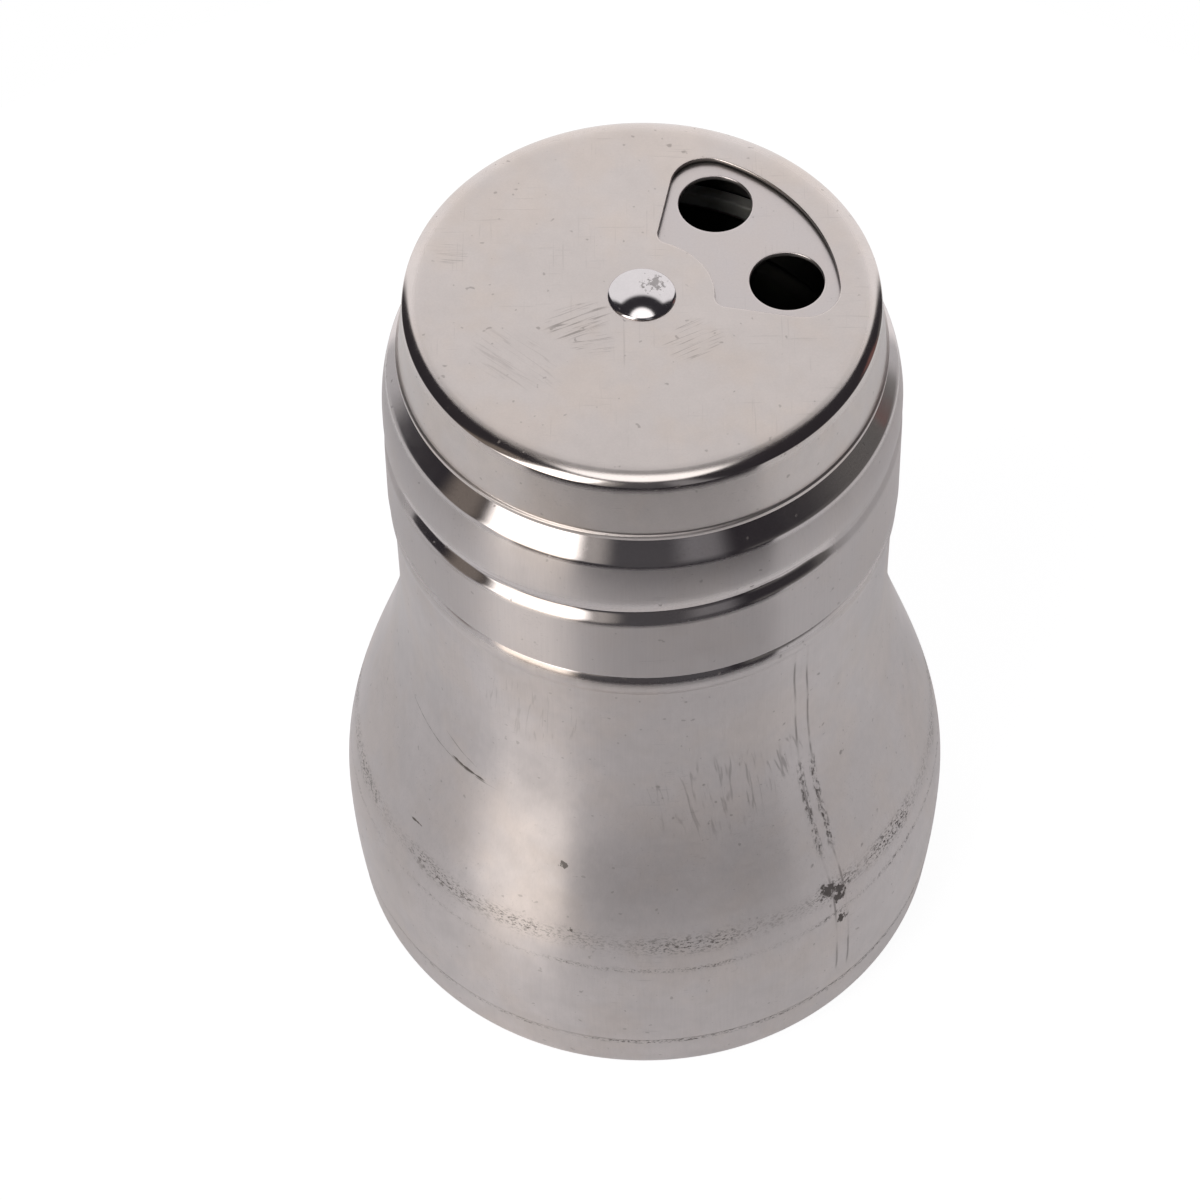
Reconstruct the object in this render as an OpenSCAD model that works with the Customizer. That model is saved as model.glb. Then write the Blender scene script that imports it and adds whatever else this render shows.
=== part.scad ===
/* [Bottle] */
// Radius of the belly at its widest
belly_r = 32.7; // [31:0.1:36]
// Height of the widest belly line above the table
belly_z = 15; // [12:0.5:20]
// Height of the crease under the neck bead
body_h = 61.6; // [56:0.2:80]
// Length of the straight waist under the bead
waist_straight = 9.4; // [6:0.2:16]
// Step from the neck out to the waist
neck_step = 1.4; // [1:0.1:1.6]
// Bias of the belly curve, above 1 starts it later
belly_bias_share = 1.15; // [0.9:0.05:1.4]
// Thickness of the rolled and pressed steel sheet
sheet_t = 0.5; // [0.4:0.05:0.6]

/* [Base pan] */
// Height of the weld between base pan and shell
base_seam_z = 7.1; // [5:0.1:9]
// How far the wall comes in from the belly down to the base corner
base_tuck = 0.6; // [0.3:0.1:2]
// Radius of the pressed corner of the base
base_corner = 3; // [2:0.1:4]
// Width of the flat ring that the bottle stands on
foot_ring_w = 4; // [2:0.5:6]
// How far the middle of the base is pressed up
foot_recess = 0.8; // [0.5:0.1:1.5]
// Width of the slope from the ring to the recess
foot_slope_w = 1; // [0.8:0.1:2]

/* [Neck] */
// Outer radius of the neck wall
neck_r = 23.9; // [22:0.1:26]
// Height from the crease under the bead to the lip
neck_h = 18.9; // [18:0.1:22]
// Radius of the rolled bead under the neck
bead_round = 2.4; // [2:0.1:2.8]
// How far the bead stands out from the waist
bead_out = 0.4; // [0.3:0.1:0.7]
// Width of the flat lip turned in at the mouth
lip_w = 1.3; // [1:0.1:2]
// Outer rounding of the lip
lip_round = 0.7; // [0.6:0.05:0.9]
// Rounding where the neck meets the bead
neck_root_round = 0.3; // [0.2:0.05:0.4]

/* [Thread] */
// Rise of the thread in one turn
thread_pitch = 6.5; // [6:0.1:7]
// Depth of the rolled groove and height of the ridge
thread_depth = 0.9; // [0.8:0.05:1]
// Half of the flat width at the tip of a ridge
thread_tip_half = 0.55; // [0.4:0.05:0.6]
// Axial growth of a flank for each unit of its depth
thread_flank_share = 1.2; // [0.8:0.1:1.3]
// Clearance between a ridge and the wall that it faces
thread_play = 0.35; // [0.25:0.05:0.45]
// Height of the neck ridge above the cap ridge
thread_offset = 2.2; // [2.15:0.05:2.4]
// Depth of the cap ridge under the lip, at its middle
thread_drop = 5.71; // [5.5:0.01:6]
// Share of the cap groove's depth that is left at the sides of the cap
thread_side_share = 0.35; // [0.2:0.05:0.6]
// Direction in which the cap groove is deepest, seen from above
thread_deep_dir = 260; // [250:1:280]

/* [Cap] */
// Radius of the step wall that carries the dial
step_r = 22.3; // [21:0.1:22.6]
// Height of the step wall above the shoulder
step_h = 6.5; // [6:0.1:9]
// Rounding of the step wall into the sieve plate
step_round = 1.8; // [1.4:0.1:2]
// Height of the sloping shoulder
shoulder_h = 2.9; // [2.4:0.1:3.2]
// How far the collar leans in at its top
crown_in = 0.65; // [0.4:0.05:0.9]
// Height over which the collar leans in
crown_h = 5; // [3:0.1:5.2]
// How far the lower edge of the collar flares out
collar_flare = 0.15; // [0.1:0.05:0.3]
// Height of the collar edge above the crease under the bead
collar_lift = 3.5; // [3.3:0.1:4.5]
// Thickness of the sealing ring under the shoulder
gasket_t = 1.8; // [1.5:0.1:2]
// Width of the sealing ring
gasket_w = 1.3; // [1:0.1:1.8]
// Clearance between the sealing ring and the shoulder
gasket_play = 0.25; // [0.2:0.05:0.35]

/* [Sieve] */
// Direction of the large hole station, seen from above
station_dir = 34; // [0:1:90]
// Radius of the large pour holes
large_hole_r = 3.6; // [3:0.1:4]
// Distance of the large holes from the middle
large_hole_pos = 14.1; // [13:0.1:14.5]
// Angle between the two large holes
large_hole_gap = 50.6; // [46:0.2:56]
// Radius of the medium holes
medium_hole_r = 1.4; // [1:0.1:1.7]
// Radius of the fine holes
fine_hole_r = 0.7; // [0.5:0.1:0.9]
// Distance of the innermost ring of small holes
small_ring_pos = 10; // [9.5:0.1:10.5]
// Step between the rings of fine holes
fine_ring_step = 3.2; // [2.8:0.1:3.4]
// Step between the rings of medium holes
medium_ring_step = 5; // [4.4:0.1:5.4]

/* [Dial] */
// Play between the dial edge and the radius of the step wall
dial_play = 0.2; // [0.15:0.05:0.4]
// Gap between the dial and the sieve plate
dial_gap = 0.1; // [0.05:0.05:0.2]
// Rounding of the dial edge
dial_round = 2.9; // [2.5:0.1:3.2]
// Angle that the rounded edge turns through before the skirt
dial_edge_turn = 38; // [34:1:45]
// Height of the dial with its skirt
cover_h = 7.3; // [6.5:0.1:8]
// How far the skirt widens on its way down
skirt_taper = 0.75; // [0.5:0.05:0.9]
// How far the lower rim of the skirt turns out
skirt_lip_out = 0.2; // [0.1:0.05:0.3]
// Height of that turned rim
skirt_lip_h = 0.6; // [0.5:0.05:0.9]
// Inner radius of the window
window_in_r = 7; // [6:0.1:8]
// Outer radius of the window
window_out_r = 19; // [18:0.1:19.4]
// Angle that the window spans
window_span = 89.6; // [80:0.2:90]
// Rounding of the outer window corners
window_out_round = 3.6; // [2.5:0.1:4]
// Rounding of the inner window corners
window_in_round = 1.2; // [0.8:0.1:2]

/* [Rivet] */
// Radius of the rivet shank
shank_r = 1.6; // [1.4:0.1:2]
// Clearance round the shank
shank_play = 0.05; // [0.03:0.01:0.1]
// Radius of the rivet head
head_r = 3.3; // [3:0.1:3.6]
// Height of the straight rim of the head
head_rim = 0.3; // [0.2:0.05:0.5]
// Height of the low dome above the rim
head_dome = 0.5; // [0.4:0.05:0.8]
// Radius of the closed tail
tail_r = 2.7; // [2.5:0.1:3]
// Height of the closed tail
tail_h = 1; // [0.8:0.1:1.4]
// Outer radius of the spring washer
spring_r = 4.6; // [4.3:0.1:5]
// Thickness of the spring washer
spring_t = 0.4; // [0.3:0.05:0.5]
// Height by which the spring washer is dished
spring_dish = 0.6; // [0.4:0.05:0.8]
// Outer radius of the flat washer
washer_r = 4; // [3.7:0.1:4.4]
// Thickness of the flat washer
washer_t = 0.6; // [0.5:0.05:0.8]

/* [Hidden] */

// Circle segments, steps of a quarter round and steps of the belly curve
round_fn = 96;
quarter_steps = 6;
belly_steps = 22;
flank_steps = 5;
crown_steps = 6;

// A thread turns once, in equal steps, and fades in and out over part of that turn
thread_steps = 72;
thread_turn = 360;
thread_fade = 25;
// Where the cap ridge starts, at the back, and where the neck ridge starts, seen from above
cap_thread_dir = 90;
neck_thread_dir = 0;
thread_front_dir = 270;
// How far from its deepest direction the cap groove starts to get shallower, and where that ends
deep_off = 48;
side_off = 62;
// How far a ridge sinks into the wall that carries it, and how far a cut runs past a face
sink = 0.15;
overrun = 1;

// Heights of the bottle, from the table up
waist_r = neck_r + neck_step;
waist_z = body_h - waist_straight;
base_r = belly_r - base_tuck;
bead_mid_r = waist_r + bead_out - bead_round;
bead_mid_z = body_h + sqrt(bead_round * bead_round - (waist_r - bead_mid_r) * (waist_r - bead_mid_r));
root_mid_r = neck_r + neck_root_round;
root_dir = acos((root_mid_r - bead_mid_r) / (bead_round + neck_root_round));
root_mid_z = bead_mid_z + (bead_round + neck_root_round) * sin(root_dir);
lip_z = body_h + neck_h;

// Collar and shoulder of the cap, seated on the sealing ring
collar_in_r = neck_r + thread_depth + thread_play;
collar_r = collar_in_r + sheet_t;
collar_low_r = collar_r + collar_flare;
collar_low_z = body_h + collar_lift;
shoulder_r = collar_r - crown_in;
shoulder_slope = shoulder_h / (shoulder_r - step_r);
gasket_r = neck_r - gasket_play;
shoulder_lift = (sheet_t + gasket_play) * sqrt(1 + shoulder_slope * shoulder_slope);
shoulder_z = lip_z + gasket_t + shoulder_lift - (shoulder_r - gasket_r) * shoulder_slope;
step_z = shoulder_z + shoulder_h;
plate_z = step_z + step_h;
crown_z = shoulder_z - crown_h;

// Thread heights, given at the front
cap_thread_z = lip_z - thread_drop;
neck_thread_z = cap_thread_z + thread_offset;
groove_tip_share = 0.65;
groove_tip_half = thread_tip_half * groove_tip_share;

// Dial, stacked on the sieve plate
dial_z = plate_z + dial_gap + sheet_t;
edge_r = step_r + dial_play + sheet_t;
edge_mid_r = edge_r - dial_round * sin(dial_edge_turn);
skirt_z = dial_z - cover_h;
skirt_r = edge_r + skirt_taper;

// Rivet stack, hung from the plate
plate_low_z = plate_z - sheet_t;
washer_z = plate_low_z - spring_dish - spring_t;
tail_z = washer_z - washer_t;
bore_r = shank_r + shank_play;

// Number of holes in each ring of the medium and fine stations
medium_counts = [3, 4];
fine_counts = [3, 4, 5];
// Share of the station's quarter turn that the rings of small holes fill
station_fill_share = 0.66;
quarter_turn = 90;

// Points on an arc about a centre
function arc(mid, r, from, to, steps = quarter_steps) =
    [for (i = [0:steps]) mid + r * [cos(from + (to - from) * i / steps), sin(from + (to - from) * i / steps)]];

// Direction of a path from one point to the next, and the side on which a wall gets its thickness
function way(path, i) = (path[i + 1] - path[i]) / norm(path[i + 1] - path[i]);
function right_of(v) = [v[1], -v[0]];

// A path moved sideways by the thickness, with square ends
function moved(path, t, first, last) =
    [for (i = [0:len(path) - 1])
        let (a = i == 0 ? first : i == len(path) - 1 ? last : way(path, i - 1))
        let (b = i == 0 ? first : i == len(path) - 1 ? last : way(path, i))
        path[i] + right_of(a + b) * t / (1 + a * b)];

// Closed outline of a sheet that follows a path
function sheet_outline(path, t, first, last) =
    let (inner = moved(path, t, first, last))
    concat(path, [for (i = [len(path) - 1:-1:0]) inner[i]]);

// Radius of the bottle wall at a height, from the waist down to the base corner
function curve_share(z) = pow((waist_z - z) / (waist_z - belly_z), belly_bias_share);
function corner_share(z) = (belly_z - z) / (belly_z - base_corner);
function wall_r(z) =
    z > waist_z ? waist_r
    : z > belly_z ? waist_r + (belly_r - waist_r) * (1 - cos(180 * curve_share(z))) / 2
    : belly_r - (belly_r - base_r) * corner_share(z) * corner_share(z);

// Wall points between two heights
function wall_points(top, low, steps) =
    [for (i = [0:steps]) let (z = top + (low - top) * i / steps) [wall_r(z), z]];

// A pressed piece of revolution, from its outer path
module pressed(path, first, last) {
    rotate_extrude($fn = round_fn)
        polygon(sheet_outline(path, sheet_t, first, last));
}

// Height of a thread at a direction, with its height at the front
function thread_z(front_z, dir) = front_z + thread_pitch * (dir - thread_front_dir) / thread_turn;

// How much of its depth a thread has at a share of its length
function fade(part) = min(1, min(part, 1 - part) * thread_turn / thread_fade);

// How much of its depth it has at a direction, where the sides of the cap are shallower
function off_deep(dir) = acos(abs(cos(dir - thread_deep_dir)));
function depth_share(dir, side_share) =
    let (deep = (side_off - off_deep(dir)) / (side_off - deep_off))
    side_share + (1 - side_share) * min(1, max(0, deep));

// A thread section: two points in the wall and two at the tip, placed at one direction
function thread_section(root_r, tip_r, tip_half, front_z, dir, full) =
    let (root_half = tip_half + abs(tip_r - root_r) * thread_flank_share)
    let (tip = root_r + (tip_r - root_r) * full)
    let (half = root_half + (tip_half - root_half) * full)
    let (z = thread_z(front_z, dir))
    [for (p = [[root_r, -root_half], [tip, -half], [tip, half], [root_r, root_half]])
        [p[0] * cos(dir), p[0] * sin(dir), z + p[1]]];

// One turn of a tapering ridge, swept about the axis
module thread(root_r, tip_r, tip_half, front_z, start_dir, side_share = 1) {
    least_share = 0.02;
    points = [for (i = [0:thread_steps])
        let (dir = start_dir + thread_turn * i / thread_steps)
        let (full = max(least_share, fade(i / thread_steps) * depth_share(dir, side_share)))
        each thread_section(root_r, tip_r, tip_half, front_z, dir, full)];
    sides = [for (i = [0:thread_steps - 1]) for (k = [0:3])
        let (a = 4 * i + k)
        let (b = 4 * i + (k + 1) % 4)
        each [[a, a + 4, b + 4], [a, b + 4, b]]];
    last = 4 * thread_steps;
    ends = [[0, 1, 2], [0, 2, 3], [last + 2, last + 1, last], [last + 3, last + 2, last]];
    faces = concat(sides, ends);
    inward = tip_r < root_r;
    polyhedron(points, inward ? faces : [for (f = faces) [f[2], f[1], f[0]]]);
}

// The round bottle wall with its waist, bead, threaded neck and turned lip
module body_shell() {
    lip_mid = [neck_r - lip_round, lip_z - lip_round];
    crease_dir = -acos((waist_r - bead_mid_r) / bead_round);
    bead_steps = 2 * quarter_steps;
    root = arc([root_mid_r, root_mid_z], neck_root_round, 180, 180 + root_dir);
    // The bead starts at the last point of the root
    path = concat(
        [[neck_r - lip_w, lip_z]],
        arc(lip_mid, lip_round, 90, 0),
        [for (i = [0:len(root) - 2]) root[i]],
        arc([bead_mid_r, bead_mid_z], bead_round, root_dir, crease_dir, bead_steps),
        wall_points(waist_z, belly_z, belly_steps),
        [for (i = [1:flank_steps])
            let (z = belly_z + (base_seam_z - belly_z) * i / flank_steps) [wall_r(z), z]]);
    neck_in_r = neck_r - sheet_t;
    color("silver")
    difference() {
        union() {
            pressed(path, [1, 0], [0, -1]);
            thread(neck_r - sink, neck_r + thread_depth, thread_tip_half, neck_thread_z, neck_thread_dir);
        }
        thread(neck_in_r - sink, neck_in_r + thread_depth, groove_tip_half, neck_thread_z, neck_thread_dir);
    }
}

// The pressed pan that closes the bottle and stands on a ring
module base_pan() {
    ring_out_r = base_r - base_corner;
    ring_in_r = ring_out_r - foot_ring_w;
    path = concat(
        [for (i = [0:flank_steps - 1])
            let (z = base_seam_z + (base_corner - base_seam_z) * i / flank_steps) [wall_r(z), z]],
        arc([ring_out_r, base_corner], base_corner, 0, -90),
        [[ring_in_r, 0], [ring_in_r - foot_slope_w, foot_recess], [0, foot_recess]]);
    color("lightgray")
    pressed(path, [0, -1], [-1, 0]);
}

// The soft ring that seals the lip against the shoulder
module lid_gasket() {
    color("whitesmoke")
    translate([0, 0, lip_z])
    difference() {
        cylinder(h = gasket_t, r = gasket_r, $fn = round_fn);
        translate([0, 0, -overrun])
            cylinder(h = gasket_t + 2 * overrun, r = gasket_r - gasket_w, $fn = round_fn);
    }
}

// One station of small holes: rings of bores, spread evenly about its direction
module station(dir, counts, ring_step, hole_r) {
    fill = quarter_turn * station_fill_share;
    for (ring = [0:len(counts) - 1])
        for (k = [0:counts[ring] - 1])
            rotate([0, 0, dir - fill / 2 + fill * (k + 0.5) / counts[ring]])
            translate([small_ring_pos + ring * ring_step, 0, plate_low_z - overrun])
                cylinder(h = sheet_t + 2 * overrun, r = hole_r, $fn = round_fn);
}

// The screw cap: sieve plate, step wall, sloping shoulder and threaded collar
module sieve_cap() {
    step_mid = [step_r - step_round, plate_z - step_round];
    crown = [for (i = [0:crown_steps])
        let (part = 1 - i / crown_steps)
        [collar_r - crown_in * part * part, crown_z + crown_h * part]];
    path = concat(
        [[bore_r, plate_z]],
        arc(step_mid, step_round, 90, 0),
        [[step_r, step_z]],
        crown,
        [[collar_low_r, collar_low_z]]);
    color("gainsboro")
    difference() {
        union() {
            pressed(path, [1, 0], [0, -1]);
            thread(collar_in_r + sink, collar_in_r - thread_depth, thread_tip_half, cap_thread_z,
                   cap_thread_dir, thread_side_share);
        }
        thread(collar_r + sink, collar_r - thread_depth, groove_tip_half, cap_thread_z,
               cap_thread_dir, thread_side_share);
        for (side = [-1, 1])
            rotate([0, 0, station_dir + side * large_hole_gap / 2])
            translate([large_hole_pos, 0, plate_low_z - overrun])
                cylinder(h = sheet_t + 2 * overrun, r = large_hole_r, $fn = round_fn);
        station(station_dir + quarter_turn, medium_counts, medium_ring_step, medium_hole_r);
        station(station_dir + 2 * quarter_turn, fine_counts, fine_ring_step, fine_hole_r);
    }
}

// Outline of the fan-shaped window, centred on the large hole station
function window_outline() =
    let (half = window_span / 2)
    let (out_pos = window_out_r - window_out_round)
    let (in_pos = window_in_r + window_in_round)
    let (out_dir = half - asin(window_out_round / out_pos))
    let (in_dir = half - asin(window_in_round / in_pos))
    concat(
        arc([0, 0], window_out_r, -out_dir, out_dir, 4 * quarter_steps),
        arc(out_pos * [cos(out_dir), sin(out_dir)], window_out_round, out_dir, half + 90),
        arc(in_pos * [cos(in_dir), sin(in_dir)], window_in_round, half + 90, 180 + in_dir),
        arc([0, 0], window_in_r, in_dir, -in_dir, 2 * quarter_steps),
        arc(in_pos * [cos(in_dir), -sin(in_dir)], window_in_round, 180 - in_dir, 270 - half),
        arc(out_pos * [cos(out_dir), -sin(out_dir)], window_out_round, 270 - half, 360 - out_dir));

// The turning cover with its skirt and window
module dial_cover() {
    edge_mid = [edge_mid_r, dial_z - dial_round];
    path = concat(
        [[bore_r, dial_z]],
        arc(edge_mid, dial_round, 90, 90 - dial_edge_turn),
        [[skirt_r, skirt_z + skirt_lip_h], [skirt_r + skirt_lip_out, skirt_z]]);
    color("lightgray")
    difference() {
        pressed(path, [1, 0], [0, -1]);
        rotate([0, 0, station_dir])
        translate([0, 0, dial_z - sheet_t - overrun])
        linear_extrude(sheet_t + 2 * overrun)
            polygon(window_outline());
    }
}

// The rivet that the dial turns on, with its domed head and closed tail
module rivet() {
    dome_r = (head_r * head_r + head_dome * head_dome) / (2 * head_dome);
    rim_z = dial_z + head_rim;
    dome_dir = asin(head_r / dome_r);
    outline = concat(
        arc([0, rim_z + head_dome - dome_r], dome_r, 90, 90 - dome_dir, 2 * quarter_steps),
        [[head_r, dial_z], [shank_r, dial_z], [shank_r, tail_z], [tail_r, tail_z],
         [tail_r, tail_z - tail_h], [0, tail_z - tail_h]]);
    color("white")
    rotate_extrude($fn = round_fn)
        polygon(outline);
}

// The dished washer that presses the dial down
module spring_washer() {
    color("darkgray")
    rotate_extrude($fn = round_fn)
        polygon([[spring_r, plate_low_z], [spring_r, plate_low_z - spring_t],
                 [bore_r, washer_z], [bore_r, washer_z + spring_t]]);
}

// The flat washer under the rivet tail
module rivet_washer() {
    color("gray")
    translate([0, 0, tail_z])
    difference() {
        cylinder(h = washer_t, r = washer_r, $fn = round_fn);
        translate([0, 0, -overrun])
            cylinder(h = washer_t + 2 * overrun, r = bore_r, $fn = round_fn);
    }
}

body_shell();
base_pan();
lid_gasket();
sieve_cap();
dial_cover();
rivet();
spring_washer();
rivet_washer();
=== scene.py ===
"""Visual model of a pear-shaped steel spice shaker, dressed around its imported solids.

Sizes are in millimetres and angles in degrees until a mesh or the camera is made.
The shaker stands on the origin, +Z is up, and -Y is the side that the main view looks at.
"""

import logging
import math
from collections.abc import Callable, Sequence
from dataclasses import dataclass, replace
from enum import Enum

import bpy
import numpy as np
from mathutils import Matrix, Vector
from mathutils.geometry import delaunay_2d_cdt


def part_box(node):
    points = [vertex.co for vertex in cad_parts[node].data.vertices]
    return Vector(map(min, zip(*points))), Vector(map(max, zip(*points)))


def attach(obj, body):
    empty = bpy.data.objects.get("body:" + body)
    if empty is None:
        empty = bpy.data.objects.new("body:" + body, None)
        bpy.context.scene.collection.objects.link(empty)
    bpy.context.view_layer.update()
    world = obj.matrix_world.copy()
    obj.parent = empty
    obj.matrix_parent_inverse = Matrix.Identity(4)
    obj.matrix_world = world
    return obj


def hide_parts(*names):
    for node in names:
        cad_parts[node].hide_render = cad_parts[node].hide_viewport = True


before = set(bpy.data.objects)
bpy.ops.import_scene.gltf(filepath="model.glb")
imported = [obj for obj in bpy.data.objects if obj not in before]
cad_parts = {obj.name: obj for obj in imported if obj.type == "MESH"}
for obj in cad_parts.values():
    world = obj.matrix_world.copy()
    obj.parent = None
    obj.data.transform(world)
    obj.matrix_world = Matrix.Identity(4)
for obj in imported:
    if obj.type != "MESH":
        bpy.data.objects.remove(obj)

MM = 0.001
COLUMNS = 360
FRONT = 270.0
LEVEL_FROM = 0.80
LEVEL_FULL = 0.95
UNIT = (1.0, 1.0, 1.0)

Point = tuple[float, float]
Place = tuple[float, float, float]
Path = list[Point]
Colour = tuple[float, float, float]

log = logging.getLogger("shaker")


def solid_z(node: str, top: bool) -> float:
    """Height of the highest or lowest point of a solid of the frame.

    Args:
        node: Name of the solid.
        top: True for its highest point, False for its lowest.

    Returns:
        The height, in millimetres.
    """
    return float(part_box(node)[1 if top else 0][2]) / MM


# Paths and outlines


def arc(mid: Point, radius: float, start: float, end: float, steps: int = 16) -> Path:
    """Points on an arc.

    Args:
        mid: Centre of the arc.
        radius: Its radius.
        start: Angle of the first point.
        end: Angle of the last point.
        steps: Number of equal steps between them.

    Returns:
        The points, both ends included.
    """
    angles = [math.radians(start + (end - start) * i / steps) for i in range(steps + 1)]
    return [(mid[0] + radius * math.cos(a), mid[1] + radius * math.sin(a)) for a in angles]


def lengths_along(path: np.ndarray) -> np.ndarray:
    """Distance along a path from its first point to each point."""
    return np.concatenate([[0.0], np.cumsum(np.hypot(*np.diff(path, axis=0).T))])


def inside_of(path: Path, thickness: float) -> Path:
    """Moves a path sideways, to its right, by a sheet's thickness.

    Args:
        path: Outer path of a sheet, from the axis outwards and down.
        thickness: Thickness of the sheet.

    Returns:
        The inner path, with as many points, in the same order.
    """
    p = np.array(path)
    along = np.diff(p, axis=0)
    along /= np.hypot(*along.T)[:, None]
    before = np.vstack([along[:1], along])
    after = np.vstack([along, along[-1:]])
    side = np.stack([(before + after)[:, 1], -(before + after)[:, 0]], axis=1)
    share = 1.0 + (before * after).sum(axis=1)
    moved = p + side * (thickness / share)[:, None]
    return [(float(r), float(z)) for r, z in moved]


def softened(path: Path, width: float, spacing: float = 0.06) -> np.ndarray:
    """Rounds every bend of a path a little, as pressing and polishing do.

    Args:
        path: The path, whose end points stay where they are.
        width: Length over which a bend is spread.
        spacing: Distance between the points of the result.

    Returns:
        Evenly spaced points of the softened path.
    """
    p = np.array(path)
    length = lengths_along(p)
    count = max(int(length[-1] / spacing), 8)
    at = np.linspace(0.0, length[-1], count)
    even = np.stack([np.interp(at, length, p[:, k]) for k in (0, 1)], axis=1)
    reach = max(int(width / spacing / 2), 1)
    padded = np.vstack([2 * even[0] - even[reach:0:-1], even, 2 * even[-1] - even[-2 : -reach - 2 : -1]])
    kernel = np.ones(2 * reach + 1) / (2 * reach + 1)
    return np.stack([np.convolve(padded[:, k], kernel, mode="valid") for k in (0, 1)], axis=1)


def thinned(
    path: np.ndarray, step: float | Callable[[float], float], tolerance: float = 0.0016
) -> np.ndarray:
    """Leaves out points of a dense path where it is nearly straight.

    Args:
        path: Dense points.
        step: Longest step that is allowed, or a method that gives it for a height.
        tolerance: How far the path may stray from the dense one.

    Returns:
        The points that are kept, both ends included.
    """
    keep = [0]
    first, last = 0, len(path) - 1
    while first < last:
        best = first + 1
        longest = step(float(path[first][1])) if callable(step) else step
        for end in range(first + 2, last + 1):
            chord = path[end] - path[first]
            size = math.hypot(*chord)
            if size > longest:
                break
            off = path[first + 1 : end] - path[first]
            stray = np.abs(off[:, 0] * chord[1] - off[:, 1] * chord[0]).max() / max(size, 1e-9)
            if stray > tolerance:
                break
            best = end
        keep.append(best)
        first = best
    return path[keep]


def grown(loop: np.ndarray, by: float) -> np.ndarray:
    """Moves a closed counter-clockwise outline outwards.

    Args:
        loop: Points of the outline in the plane.
        by: Distance to move each point.

    Returns:
        The moved points.
    """
    along = np.roll(loop, -1, axis=0) - np.roll(loop, 1, axis=0)
    along /= np.hypot(*along.T)[:, None]
    return loop + by * np.stack([along[:, 1], -along[:, 0]], axis=1)


def circle(mid: Point, radius: float, count: int) -> np.ndarray:
    """A counter-clockwise circle of points."""
    turn = 2 * math.pi * np.arange(count) / count
    return np.stack([mid[0] + radius * np.cos(turn), mid[1] + radius * np.sin(turn)], axis=1)


def row_turns() -> tuple[np.ndarray, np.ndarray]:
    """The unit circle that a row follows, and the direction of each of its points."""
    unit = circle((0, 0), 1.0, COLUMNS)
    return unit, np.degrees(np.arctan2(unit[:, 1], unit[:, 0]))


def encloses(loop: np.ndarray, points: np.ndarray) -> np.ndarray:
    """Tells which points lie inside an outline.

    Args:
        loop: Closed outline in the plane.
        points: Points to test.

    Returns:
        One truth value for each point.
    """
    inside = np.zeros(len(points), bool)
    x, y = points[:, 0], points[:, 1]
    for (ax, ay), (bx, by) in zip(loop, np.roll(loop, -1, axis=0)):
        crosses = (ay > y) != (by > y)
        if crosses.any() and ay != by:
            inside ^= crosses & (x < (bx - ax) * (y - ay) / (by - ay) + ax)
    return inside


# Meshes


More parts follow.
